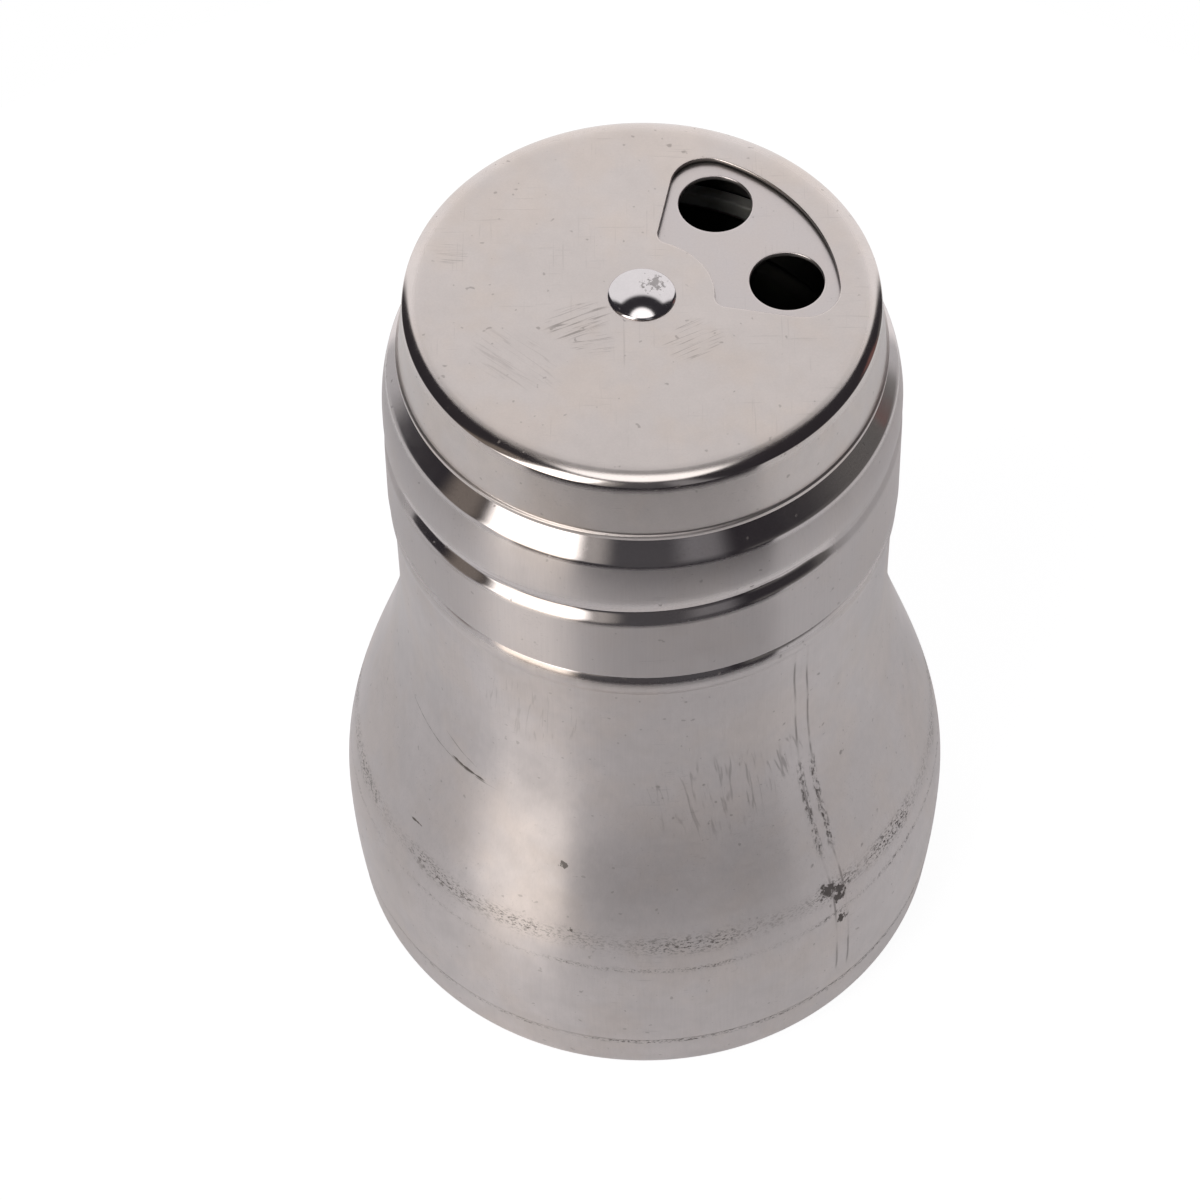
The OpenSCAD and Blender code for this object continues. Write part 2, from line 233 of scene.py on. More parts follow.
class Mesher:
    """Collects the rows, walls and plates of one piece and makes its mesh.

    A row is a closed ring of points. Each point carries a polish, from 0 for satin to 1 for mirror, and
    a dullness with painted shade, which is 1 inside the shaker, where the finish paints its colour near
    black as painted shade. Its level is 1 where the surface lies flat and 0 where it is upright. The
    finish reads all three as mesh attributes.
    """

    def __init__(self, columns: int = COLUMNS) -> None:
        """Starts an empty piece.

        Args:
            columns: Number of points in each of its rows.
        """
        self.columns = columns
        self.blocks: list[np.ndarray] = []
        self.polish: list[np.ndarray] = []
        self.dull_and_shade: list[np.ndarray] = []
        self.faces: list[tuple[int, ...]] = []
        self.count = 0

    def row(self, xyz: np.ndarray, polish: float | np.ndarray = 0.0, dull_and_shade: float = 0.0) -> np.ndarray:
        """Adds points.

        Args:
            xyz: The points.
            polish: Their polish, one value or one for each.
            dull_and_shade: Their dullness and painted shade, from 0 to 1.

        Returns:
            The numbers of the points.
        """
        self.blocks.append(xyz)
        self.polish.append(np.broadcast_to(polish, len(xyz)))
        self.dull_and_shade.append(np.full(len(xyz), dull_and_shade))
        self.count += len(xyz)
        return np.arange(self.count - len(xyz), self.count)

    def ring(self, r: float, z: float, polish: float = 0.0, dull_and_shade: float = 0.0) -> np.ndarray:
        """Adds a round row about the axis and returns its point numbers."""
        flat = circle((0.0, 0.0), r, self.columns)
        return self.row(np.column_stack([flat, np.full(len(flat), z)]), polish, dull_and_shade)

    def band(self, upper: np.ndarray, lower: np.ndarray, inward: bool = False) -> None:
        """Joins two rows with a band of quads.

        Args:
            upper: Point numbers of the first row.
            lower: Point numbers of the second row.
            inward: True if the band faces its own axis.
        """
        for a, b, c, d in zip(upper, lower, np.roll(lower, -1), np.roll(upper, -1)):
            quad = (int(a), int(b), int(c), int(d))
            self.faces.append(quad[::-1] if inward else quad)

    def lathe(self, rows: Sequence[np.ndarray], closed: bool = False) -> None:
        """Joins rows one after the other.

        Args:
            rows: Point numbers of each row.
            closed: True if the last row is joined to the first.
        """
        for upper, lower in zip(rows, rows[1:]):
            self.band(upper, lower)
        if closed:
            self.band(rows[-1], rows[0])

    def tip(
        self, row: np.ndarray, xyz: Place, first: bool, polish: float = 0.0, dull_and_shade: float = 0.0
    ) -> None:
        """Closes a row with a fan of triangles.

        Args:
            row: Point numbers of the row.
            xyz: The point that the fan meets in.
            first: True where the fan starts a path of rows, False where it ends one.
            polish: Polish of that point.
            dull_and_shade: Dullness and painted shade of that point.
        """
        mid = int(self.row(np.array([xyz]), polish, dull_and_shade)[0])
        for a, b in zip(row, np.roll(row, -1)):
            self.faces.append((mid, int(a), int(b)) if first else (mid, int(b), int(a)))

    def plate(
        self, rim: np.ndarray, holes: Sequence[np.ndarray], up: bool, grid: float = 1.7, clear: float = 0.45
    ) -> None:
        """Fills a flat region between an outer row and holes, with rings of points inside.

        Args:
            rim: Point numbers of the outer row.
            holes: Point numbers of the rows round the holes.
            up: True if the plate faces up, False if it faces down, into the shaker.
            grid: Distance between the points inside.
            clear: How near to an edge they may come, as a share of that distance.
        """
        points = np.concatenate(self.blocks)
        loops = [points[rim], *[points[h] for h in holes]]
        z = float(loops[0][0, 2])
        reach = float(np.abs(loops[0][:, :2]).max())
        radii = np.arange(grid, reach, grid)
        inner = np.concatenate([circle((0, 0), r, max(int(2 * math.pi * r / grid), 6)) for r in radii])
        edge = np.concatenate([loop[:, :2] for loop in loops])
        near = np.array([np.hypot(*(edge - p).T).min() for p in inner])
        inner = inner[near > grid * clear]
        inside = encloses(loops[0][:, :2], inner)
        for loop in loops[1:]:
            inside &= ~encloses(loop[:, :2], inner)
        inner = inner[inside]
        # Painted shade: points of a plate that faces down, into the shaker, are painted near black.
        added = self.row(np.column_stack([inner, np.full(len(inner), z)]), dull_and_shade=0.0 if up else 1.0)
        numbers = np.concatenate([rim, *holes, added]).astype(int)
        flat = np.concatenate([edge, inner])
        edges, start = [], 0
        for loop in loops:
            edges += [(start + i, start + (i + 1) % len(loop)) for i in range(len(loop))]
            start += len(loop)
        _, _, triangles, sources, _, _ = delaunay_2d_cdt([Vector(p) for p in flat], edges, [], 0, 1e-5)
        found = np.array([[sources[k][0] for k in t] for t in triangles])
        middle = flat[found].mean(axis=1)
        good = encloses(loops[0][:, :2], middle)
        for loop in loops[1:]:
            good &= ~encloses(loop[:, :2], middle)
        for a, b, c in found[good]:
            u, v = flat[b] - flat[a], flat[c] - flat[a]
            left = u[0] * v[1] - u[1] * v[0] > 0
            order = (a, b, c) if left == up else (a, c, b)
            self.faces.append(tuple(int(numbers[k]) for k in order))

    def punched(
        self,
        loop: np.ndarray,
        top: float,
        low: float,
        ease: float,
        bright: float = 0.5,
        dark: float = 0.6,
        margin: float = 2.2,
    ) -> tuple[np.ndarray, np.ndarray]:
        """Adds the wall of a punched hole, with eased edges.

        Args:
            loop: Outline of the hole, counter-clockwise.
            top: Height of the upper face.
            low: Height of the lower face.
            ease: Radius of the eased edges.
            bright: Polish of the wall.
            dark: Dullness and painted shade of the wall where its upper eased edge ends; the rows below are
                fully shaded.
            margin: Reach of the flat row round each edge, as a share of that radius.

        Returns:
            Point numbers of the upper and of the lower row.
        """
        turns = [math.radians(a) for a in (90, 68, 45, 22, 0)]
        rims = [(margin * ease, 0.0)]
        rims += [(ease * (1 - math.cos(a)), ease * (1 - math.sin(a))) for a in turns]
        # Painted shade: the wall below its upper eased edge is painted dark, as the shade inside the hole.
        upper = [(grow, top - sunk, dark if sunk >= ease else 0.0) for grow, sunk in rims]
        lower = [(grow, low + sunk, 1.0) for grow, sunk in reversed(rims)]
        rows = []
        for grow, z, dull_and_shade in upper + lower:
            where = np.column_stack([grown(loop, grow), np.full(len(loop), z)])
            rows.append(self.row(where, bright * (z < top), dull_and_shade))
        for a, b in zip(rows, rows[1:]):
            self.band(a, b, inward=True)
        return rows[0], rows[-1]

    def build(self, name: str, material: bpy.types.Material, crease: float = 50.0) -> bpy.types.Object:
        """Makes the object.

        Args:
            name: Name of the piece.
            material: Its finish.
            crease: Bends sharper than this angle stay sharp in the shading.

        Returns:
            The object, with smooth shading that keeps flat faces flat.
        """
        mesh = bpy.data.meshes.new(name)
        mesh.from_pydata((np.concatenate(self.blocks) * MM).tolist(), [], self.faces)
        mesh.validate()
        mesh.shade_smooth()
        mesh.set_sharp_from_angle(angle=math.radians(crease))
        facing = np.zeros(3 * len(mesh.vertices), np.float32)
        mesh.vertex_normals.foreach_get("vector", facing)
        level = np.clip((np.abs(facing[2::3]) - LEVEL_FROM) / (LEVEL_FULL - LEVEL_FROM), 0.0, 1.0)
        # The dullness attribute also carries painted shade, a near-black colour inside the shaker.
        values = {"polish": np.concatenate(self.polish), "dull_and_shade": np.concatenate(self.dull_and_shade), "level": level}
        for label, value in values.items():
            mark = mesh.attributes.new(label, "FLOAT", "POINT")
            mark.data.foreach_set("value", value.astype(np.float32))
        mesh.materials.append(material)
        piece = bpy.data.objects.new(name, mesh)
        bpy.context.scene.collection.objects.link(piece)
        weigh = piece.modifiers.new("flat faces", "WEIGHTED_NORMAL")
        weigh.keep_sharp = True
        return piece


# Shader maths


class Wire:
    """A shader value on which plain arithmetic works, by adding Math nodes."""

    def __init__(self, nodes: "Nodes", socket: bpy.types.NodeSocket) -> None:
        """Wraps an output socket of a node tree."""
        self.nodes = nodes
        self.socket = socket

    def __add__(self, other: "Wire | float") -> "Wire":
        """Sum."""
        return self.nodes.maths("ADD", self, other)

    def __sub__(self, other: "Wire | float") -> "Wire":
        """Difference."""
        return self.nodes.maths("SUBTRACT", self, other)

    def __rsub__(self, other: float) -> "Wire":
        """Difference from a number."""
        return self.nodes.maths("SUBTRACT", other, self)

    def __mul__(self, other: "Wire | float") -> "Wire":
        """Product."""
        return self.nodes.maths("MULTIPLY", self, other)

    def __truediv__(self, other: "Wire | float") -> "Wire":
        """Quotient."""
        return self.nodes.maths("DIVIDE", self, other)

    def __abs__(self) -> "Wire":
        """Absolute value."""
        return self.nodes.maths("ABSOLUTE", self)

    __radd__ = __add__
    __rmul__ = __mul__

    def most(self, other: "Wire | float") -> "Wire":
        """The larger of two values."""
        return self.nodes.maths("MAXIMUM", self, other)

    def rise(self, low: float, high: float) -> "Wire":
        """A smooth step between two values, which falls where low is above high.

        Args:
            low: Value at which the step is 0.
            high: Value at which the step is 1.

        Returns:
            The step, from 0 to 1.
        """
        flip = low > high
        ends = (high, low) if flip else (low, high)
        node = self.nodes.node(
            "ShaderNodeMapRange",
            {"interpolation_type": "SMOOTHSTEP"},
            {"Value": self, "From Min": ends[0], "From Max": ends[1]},
        )
        smooth = Wire(self.nodes, node.outputs["Result"])
        return 1 - smooth if flip else smooth


class Nodes:
    """The node tree of one material, or of the world."""

    def __init__(self, owner: bpy.types.Material | bpy.types.World) -> None:
        """Empties the node tree of its owner.

        Args:
            owner: The material or the world.
        """
        self.owner = owner
        owner.use_nodes = True
        self.tree = owner.node_tree
        self.tree.nodes.clear()

    def node(self, kind: str, settings: dict[str, object], inputs: dict[str, object]) -> bpy.types.Node:
        """Adds a node.

        Args:
            kind: Its type.
            settings: Properties, which are set first.
            inputs: Values or wires of its sockets, by identifier or name.

        Returns:
            The node.
        """
        node = self.tree.nodes.new(kind)
        for key, value in settings.items():
            setattr(node, key, value)
        for key, value in inputs.items():
            found = [s for s in node.inputs if s.identifier == key] or [node.inputs[key]]
            if isinstance(value, Wire):
                self.tree.links.new(value.socket, found[0])
            else:
                found[0].default_value = value
        return node

    def maths(self, operation: str, *values: "Wire | float") -> Wire:
        """Adds a Math node.

        Args:
            operation: Its operation.
            values: Its one, two or three inputs.

        Returns:
            Its value.
        """
        names = ["Value", "Value_001", "Value_002"]
        node = self.node("ShaderNodeMath", {"operation": operation}, dict(zip(names, values)))
        return Wire(self, node.outputs[0])

    def vector(self, operation: str, a: Wire, b: Place | Wire) -> Wire:
        """Adds a Vector Math node.

        Args:
            operation: Its operation.
            a: Its first vector.
            b: Its second vector.

        Returns:
            The vector that it gives.
        """
        inputs = {"Vector": a, "Vector_001": b}
        node = self.node("ShaderNodeVectorMath", {"operation": operation}, inputs)
        return Wire(self, node.outputs["Vector"])

    def combine(self, x: Wire | float, y: Wire | float, z: Wire | float) -> Wire:
        """Joins three values to a vector."""
        return Wire(self, self.node("ShaderNodeCombineXYZ", {}, {"X": x, "Y": y, "Z": z}).outputs[0])

    def dot(self, a: Wire, b: Place) -> Wire:
        """Adds a dot product.

        Args:
            a: A vector.
            b: The direction that it is measured along.

        Returns:
            The product.
        """
        inputs = {"Vector": a, "Vector_001": b}
        node = self.node("ShaderNodeVectorMath", {"operation": "DOT_PRODUCT"}, inputs)
        return Wire(self, node.outputs["Value"])

    def length(self, a: Wire) -> Wire:
        """Adds the length of a vector."""
        node = self.node("ShaderNodeVectorMath", {"operation": "LENGTH"}, {"Vector": a})
        return Wire(self, node.outputs["Value"])

    def noise(self, at: Wire, stretch: Place, detail: float = 2.0, rough: float = 0.5) -> Wire:
        """Adds noise.

        Args:
            at: Place in millimetres.
            stretch: Spots of noise for each millimetre along x, y and z.
            detail: Number of finer layers.
            rough: Weight of the finer layers.

        Returns:
            The noise, from about 0 to 1 with 0.5 as its mean.
        """
        even = len(set(stretch)) == 1
        spot = at if even else self.vector("MULTIPLY", at, stretch)
        scale = stretch[0] if even else 1.0
        inputs = {"Vector": spot, "Scale": scale, "Detail": detail, "Roughness": rough}
        return Wire(self, self.node("ShaderNodeTexNoise", {}, inputs).outputs[0])

    def blend(self, share: Wire, a: Wire | Colour, b: Wire | Colour) -> Wire:
        """Mixes two colours.

        Args:
            share: Share of the second colour.
            a: The first colour.
            b: The second colour.

        Returns:
            The mixed colour.
        """
        sides = {"A_Color": a, "B_Color": b}
        sides = {k: v if isinstance(v, Wire) else (*v, 1.0) for k, v in sides.items()}
        node = self.node("ShaderNodeMix", {"data_type": "RGBA"}, {"Factor_Float": share, **sides})
        return Wire(self, next(s for s in node.outputs if s.identifier == "Result_Color"))

    def place(self) -> Wire:
        """The place on the piece, in millimetres, which stays with the piece as it moves."""
        node = self.node("ShaderNodeTexCoord", {}, {})
        return self.vector("MULTIPLY", Wire(self, node.outputs["Object"]), (1 / MM, 1 / MM, 1 / MM))

    def carried(self, label: str) -> Wire:
        """A value that the points of the mesh carry under this label."""
        return Wire(self, self.node("ShaderNodeAttribute", {"attribute_name": label}, {}).outputs["Fac"])

    def bump(self, height: Wire, distance: float) -> Wire:
        """Adds a bump of the given depth in millimetres and returns the normal."""
        inputs = {"Height": height, "Distance": distance * MM, "Strength": 1.0}
        return Wire(self, self.node("ShaderNodeBump", {}, inputs).outputs["Normal"])

    def close(self, inputs: dict[str, object], stretched: float = 0.0) -> bpy.types.Material:
        """Ends the tree with a Principled BSDF.

        Args:
            inputs: Its inputs.
            stretched: How much the sides, but not the level faces, stretch a reflection upright.

        Returns:
            The material.
        """
        shader = self.node("ShaderNodeBsdfPrincipled", {}, inputs)
        if stretched:
            along = {"Anisotropic": stretched, "Anisotropic Rotation": 0.25}
            sides = self.node("ShaderNodeBsdfPrincipled", {}, {**inputs, **along})
            mix = self.node("ShaderNodeMixShader", {}, {"Fac": self.carried("level")})
            self.tree.links.new(sides.outputs[0], mix.inputs[1])
            self.tree.links.new(shader.outputs[0], mix.inputs[2])
            shader = mix
        output = self.node("ShaderNodeOutputMaterial", {}, {})
        self.tree.links.new(shader.outputs[0], output.inputs["Surface"])
        return self.owner


# Finishes


class Grain(Enum):
    """Direction in which a surface was brushed, as spots of noise for each millimetre."""

    AXIAL = (5.0, 5.0, 0.10)
    EVEN = (5.0, 5.0, 5.0)


@dataclass(frozen=True)
class StainRing:
    """A dirty line left all round the wall at one height."""

    height: float
    half_width: float
    strength: float
    wander: float = 0.8
    grit: float = 1.0

    def mask(self, nodes: Nodes, at: Wire, z: Wire) -> Wire:
        """Where the stain is.

        Args:
            nodes: The material's nodes.
            at: Place in millimetres.
            z: Height in millimetres.

        Returns:
            A share from 0 to 1.
        """
        sway = (nodes.noise(at, (0.07, 0.07, 0.0), 2.0) - 0.5) * (2.0 * self.wander)
        reach = nodes.noise(at, (0.10, 0.10, 0.05), 2.0).rise(0.38, 0.60)
        near = abs(z + sway - self.height).rise(self.half_width, 0.0)
        fine = 2.2 * self.grit
        specks = nodes.noise(at, (fine, fine, 2.1 * fine), 3.0, 0.75).rise(0.50, 0.60)
        return near * specks * (0.25 + 0.75 * reach) * self.strength


@dataclass(frozen=True)
class WeldSeam:
    """The upright weld of the rolled shell, at one direction: two faint rails, dark in places."""

    direction: float
    half_width: float
    low: float
    high: float
    dark_low: float
    dark_high: float
    lean: float = 0.02
    wander: float = 1.4
    faint_rail: Point = (0.20, 0.03)
    dark_rail: Point = (0.60, 0.10)

    def offset(self, nodes: Nodes, at: Wire) -> Wire:
        """Distance across the seam, with its slight lean and wander.

        Args:
            nodes: The material's nodes.
            at: Place in millimetres.

        Returns:
            The distance in millimetres.
        """
        a = math.radians(self.direction)
        across = nodes.dot(at, (-math.sin(a), math.cos(a), self.lean)) - self.lean * self.dark_low
        return across + (nodes.noise(at, (0.0, 0.0, 0.06), 2.0) - 0.5) * self.wander

    def side(self, nodes: Nodes, at: Wire) -> Wire:
        """1 on the side of the bottle that has the seam, and 0 on the other."""
        a = math.radians(self.direction)
        return nodes.dot(at, (math.cos(a), math.sin(a), 0.0)).rise(5.0, 10.0)

    def mask(self, nodes: Nodes, at: Wire, z: Wire) -> Wire:
        """Where the weld has left dark traces.

        Args:
            nodes: The material's nodes.
            at: Place in millimetres.
            z: Height in millimetres.

        Returns:
            A share from 0 to 1.
        """
        x = abs(self.offset(nodes, at))
        rails = abs(x - self.half_width)
        patchy = nodes.noise(at, (0.3, 0.3, 0.16), 2.0, 0.6).rise(0.44, 0.62)
        faint = rails.rise(*self.faint_rail) * (0.04 + 0.30 * patchy)
        ragged = nodes.noise(at, (3.4, 3.4, 1.1), 3.0, 0.7).rise(0.46, 0.62)
        span = z.rise(self.dark_low, self.dark_low + 2.0) * z.rise(self.dark_high + 3.0, self.dark_high)
        dark = rails.rise(*self.dark_rail) * ragged * span * 0.7
        upright = z.rise(self.low, self.low + 2.0) * z.rise(self.high + 1.0, self.high)
        return faint.most(dark) * upright * self.side(nodes, at)


@dataclass(frozen=True)
class Blot:
    """A ragged dark blot."""

    middle: Place
    radius: float
    strength: float
    fine: Place = (1.6, 1.6, 1.1)

    def mask(self, nodes: Nodes, at: Wire, z: Wire) -> Wire:
        """Where the blot is.

        Args:
            nodes: The material's nodes.
            at: Place in millimetres.
            z: Height in millimetres, which this mark has no use for.

        Returns:
            A share from 0 to 1.
        """
        away = nodes.vector("SUBTRACT", at, self.middle)
        near = nodes.length(away) / self.radius
        ragged = nodes.noise(at, self.fine, 3.0, 0.65)
        return (ragged - near * 0.32).rise(0.33, 0.40) * near.rise(1.0, 0.8) * self.strength


@dataclass(frozen=True)
class Hairlines:
    """A patch of fine scratches that all run much the same way."""

    middle: Place
    along: Place
    across: Place
    half_length: float
    half_width: float
    strength: float
    spacing: float = 0.55
    length: float = 7.0
    line: float = 0.055
    reach: float = 15.0

    def mask(self, nodes: Nodes, at: Wire, z: Wire) -> Wire:
        """Where the scratches are.

        Args:
            nodes: The material's nodes.
            at: Place in millimetres.
            z: Height in millimetres, which this mark has no use for.

        Returns:
            A share from 0 to 1.
        """
        away = nodes.vector("SUBTRACT", at, self.middle)
        u, v = nodes.dot(away, self.along), nodes.dot(away, self.across)
        u_share, v_share = u / self.half_length, v / self.half_width
        far = u_share * u_share + v_share * v_share
        spot = nodes.combine(u / self.length, v / self.spacing, self.middle[0])
        waves = nodes.noise(spot, UNIT, 1.0)
        breaks = nodes.noise(spot, (1.7, 1.7, 1.7), 2.0).rise(0.46, 0.58)
        breaks = breaks * nodes.length(away).rise(1.4 * self.reach, self.reach)
        lines = abs(waves - 0.5).rise(self.line, 0.25 * self.line)
        return lines * breaks * far.rise(1.0, 0.35) * self.strength


@dataclass(frozen=True)
class Scratch:
    """One scratch in the wall, from one place to another, each given by direction and height."""

    start: Point
    end: Point
    radius: float
    half_width: float
    strength: float
    bow: float = 0.0
    waver: float = 0.315

    def mask(self, nodes: Nodes, at: Wire, z: Wire) -> Wire:
        """Where the scratch is.

        Args:
            nodes: The material's nodes.
            at: Place in millimetres.
            z: Height in millimetres.

        Returns:
            A share from 0 to 1.
        """
        step = self.radius * math.pi / 180.0
        run, rise = (self.end[0] - self.start[0]) * step, self.end[1] - self.start[1]
        size = math.hypot(run, rise)
        turn = nodes.maths("ARCTAN2", nodes.dot(at, (0.0, 1.0, 0.0)), nodes.dot(at, (1.0, 0.0, 0.0)))
        x, y = turn * self.radius - self.start[0] * step, z - self.start[1]
        u = (x * (run / size) + y * (rise / size)) / size
        v = y * (run / size) - x * (rise / size) - u * (1 - u) * (4 * self.bow)
        bends = nodes.noise(nodes.combine(u * (0.35 * size), 0.0, self.start[1]), UNIT, 2.0) - 0.5
        thick = nodes.noise(nodes.combine(u * (0.9 * size), 3.0, self.start[0]), UNIT, 2.0)
        thick = thick.rise(0.25, 0.7)
        reach = u.rise(0.0, 0.18) * u.rise(1.0, 0.82)
        away = abs(v + bends * self.waver) / (thick * reach + 0.02)
        return away.rise(self.half_width, 0.3 * self.half_width) * reach * self.strength


Mark = StainRing | WeldSeam | Blot | Hairlines | Scratch


@dataclass(frozen=True)
class Steel:
    """Bare stainless steel, with its grain, mottling, fine scratches, dirt and polish, and painted shade
    inside the shaker.

    The fields that end in spots give the spots of noise for each millimetre along x, y and z.
    """

    name: str
    colour: Colour
    roughness: float
    grain: Grain
    polished: float = 0.1
    grain_depth: float = 0.0012
    grain_rough: float = 0.05
    mottle: float = 0.10
    tinge: float = 0.35
    warp: float = 0.010
    hairlines: float = 0.35
    specks: float = 0.25
    anisotropy: float = 0.0
    turned: float = 0.0
    marks: tuple[Mark, ...] = ()
    seam: WeldSeam | None = None
    seam_depth: float = 0.02
    spread: float = 0.20
    grain_tone: float = 0.10
    hair_tone: float = 0.22
    soiled_rough: float = 0.62
    inner_rough: float = 0.60
    unmetal: float = 0.7
    warm: Colour = (1.03, 0.985, 0.93)
    dirt: Colour = (0.085, 0.070, 0.060)
    # Painted shade: near-black colour of the inside of the shaker and of the walls of its holes.
    inner: Colour = (0.035, 0.032, 0.030)
    cloud_spots: Place = (0.10, 0.10, 0.10)
    bloom_spots: Place = (0.55, 0.55, 0.40)
    tint_spots: Place = (0.13, 0.13, 0.10)
    cross_spots: Place = (4.5, 0.10, 4.5)
    slant_spots: Place = (0.16, 4.2, 3.0)
    patch_spots: Place = (0.2, 0.2, 0.2)
    soil_spots: Place = (1.3, 1.3, 1.3)
    turned_spots: Place = (0.02, 0.02, 1.3)

    def material(self) -> bpy.types.Material:
        """Builds the material.

        Returns:
            The material.
        """
        n = Nodes(bpy.data.materials.new(self.name))
        at = n.place()
        z = n.dot(at, (0.0, 0.0, 1.0))
        polish, dull_and_shade = n.carried("polish"), n.carried("dull_and_shade")
        satin = 1 - polish
        grain = n.noise(at, self.grain.value, 3.0, 0.6)
        cloud = n.noise(at, self.cloud_spots, 3.0, 0.55)
        bloom = n.noise(at, self.bloom_spots, 3.0, 0.6)
        tint = n.noise(n.vector("ADD", at, (17.0, 3.0, 5.0)), self.tint_spots, 3.0, 0.6)
        cross = n.noise(at, self.cross_spots, 2.0, 0.6).rise(0.63, 0.70)
        slant = n.noise(n.vector("ADD", at, (31.0, 7.0, 13.0)), self.slant_spots, 2.0, 0.6)
        slant = slant.rise(0.63, 0.70)
        hair = cross.most(slant) * n.noise(at, self.patch_spots, 1.0).rise(0.48, 0.62) * self.hairlines
        soil = n.noise(at, self.soil_spots, 1.0).rise(0.735, 0.775) * self.specks
        for mark in self.marks:
            soil = soil.most(mark.mask(n, at, z))
        tone = (cloud - 0.5) * self.mottle + (bloom - 0.5) * (0.55 * self.mottle)
        tone = tone + (grain - 0.5) * self.grain_tone - hair * self.hair_tone
        shade = (0.5 + tone * 2.0).rise(0.0, 1.0)
        darker, lighter = 1.0 - self.spread, 1.0 + self.spread
        base = n.blend(shade, self.toned(darker), self.toned(lighter))
        browned = n.blend(shade, self.toned(darker, self.warm), self.toned(lighter, self.warm))
        base = n.blend(tint.rise(0.42, 0.66) * self.tinge, base, browned)
        # Painted shade: where the dullness attribute is 1, inside the shaker, the colour turns near black.
        colour = n.blend(dull_and_shade, n.blend(soil, base, self.dirt), self.inner)
        satin_rough = self.roughness + (cloud - 0.5) * 0.08 + (grain - 0.5) * self.grain_rough
        satin_rough = satin_rough + (bloom - 0.5) * 0.05 + hair * 0.08
        rough = satin_rough * satin + (self.polished + (bloom - 0.5) * 0.06) * polish
        rough = rough * (1 - soil) + soil * self.soiled_rough
        height = (grain * self.grain_depth) * (0.25 + 0.75 * satin)
        height = height + (cloud * 0.9 + bloom * 0.1) * self.warp
        if self.turned:
            height = height + n.noise(at, self.turned_spots, 2.0) * self.turned
        if self.seam:
            x = abs(self.seam.offset(n, at))
            groove = x.rise(self.seam.half_width * 1.5, self.seam.half_width * 0.4)
            height = height - groove * self.seam.side(n, at) * self.seam_depth
        return n.close(
            {
                "Base Color": colour,
                "Metallic": 1 - soil.most(dull_and_shade) * self.unmetal,
                "Roughness": rough.most(dull_and_shade * self.inner_rough),
                "Normal": n.bump(height, 1.0),
            },
            self.anisotropy,
        )

    def toned(self, share: float, tint: Colour = UNIT) -> Colour:
        """The steel's colour, lighter or darker by a share and tinted."""
        red, green, blue = (min(c * share * t, 0.95) for c, t in zip(self.colour, tint))
        return (red, green, blue)


@dataclass(frozen=True)
class Rubber:
    """Soft off-white seal rubber, matte and a little dusty."""

    name: str = "seal rubber"
    colour: Colour = (0.80, 0.79, 0.76)
    dusty: Colour = (0.66, 0.63, 0.58)

    def material(self) -> bpy.types.Material:
        """Builds the material.

        Returns:
            The material.
        """
        n = Nodes(bpy.data.materials.new(self.name))
        at = n.place()
        dust = n.noise(at, (0.4, 0.4, 0.4), 3.0).rise(0.42, 0.68)
        pores = n.noise(at, (6.0, 6.0, 6.0), 2.0)
        return n.close(
            {
                "Base Color": n.blend(dust, self.colour, self.dusty),
                "Roughness": 0.62 + (pores - 0.5) * 0.2,
                "Normal": n.bump(pores, 0.01),
            }
        )


# The shaker


@dataclass(frozen=True)
class Thread:
    """A thread rolled into a sheet: one turn that starts and ends shallow."""

    front_z: float
    start: float
    pitch: float = 6.5
    depth: float = 0.9
    fade: float = 25.0
    side_share: float = 1.0
    deep_dir: float = 260.0
    deep_off: float = 48.0
    side_off: float = 62.0
    soft: float = 0.15
    lean_turn: float = 22.0
    section: tuple[Point, ...] = ((0.0, 1.0), (0.36, 1.0), (1.22, 0.12), (1.6, 0.0))

    def passed(self, direction: np.ndarray) -> np.ndarray:
        """How far round from its start a direction is."""
        return np.mod(direction - self.start, 360.0)

    def middle(self, direction: np.ndarray) -> np.ndarray:
        """Height of the thread at a direction."""
        return self.front_z + self.pitch * (self.passed(direction) + self.start - FRONT) / 360.0

    def bite(self, direction: np.ndarray) -> np.ndarray:
        """How much of its full depth the thread has.

        Args:
            direction: Directions about the axis.

        Returns:
            Shares, from 0 to 1.
        """
        done = self.passed(direction)
        part = np.clip(np.minimum(done, 360.0 - done) / self.fade, 0.0, 1.0)
        off_deep = np.degrees(np.arccos(np.abs(np.cos(np.radians(direction - self.deep_dir)))))
        deep = np.clip((self.side_off - off_deep) / (self.side_off - self.deep_off), 0.0, 1.0)
        front = (1 - self.side_share) * deep * deep * (3 - 2 * deep)
        return part * part * (3 - 2 * part) * (self.side_share + front)

    def push(self, direction: np.ndarray, z: np.ndarray) -> np.ndarray:
        """How deep the thread is pressed in.

        Args:
            direction: Directions about the axis.
            z: Heights.

        Returns:
            Depths, in millimetres.
        """
        away, share = zip(*self.section)
        off = np.abs(z - self.middle(direction))
        spread = [np.interp(np.abs(off + d), away, share) for d in np.linspace(-self.soft, self.soft, 7)]
        return self.depth * self.bite(direction) * np.mean(spread, axis=0)

    def lean(self, direction: np.ndarray) -> np.ndarray:
        """How far a row moves up or down to run along the thread, without a jump at its start.

        Args:
            direction: Directions about the axis.

        Returns:
            Distances, in millimetres.
        """
        done = self.passed(direction)
        x = np.where(done > 180.0, done - 360.0, done)
        turn = np.clip(x / self.lean_turn, -1.0, 1.0)
        return self.pitch * (x / 360.0 - 0.5 * turn * (1.5 - 0.5 * turn * turn))


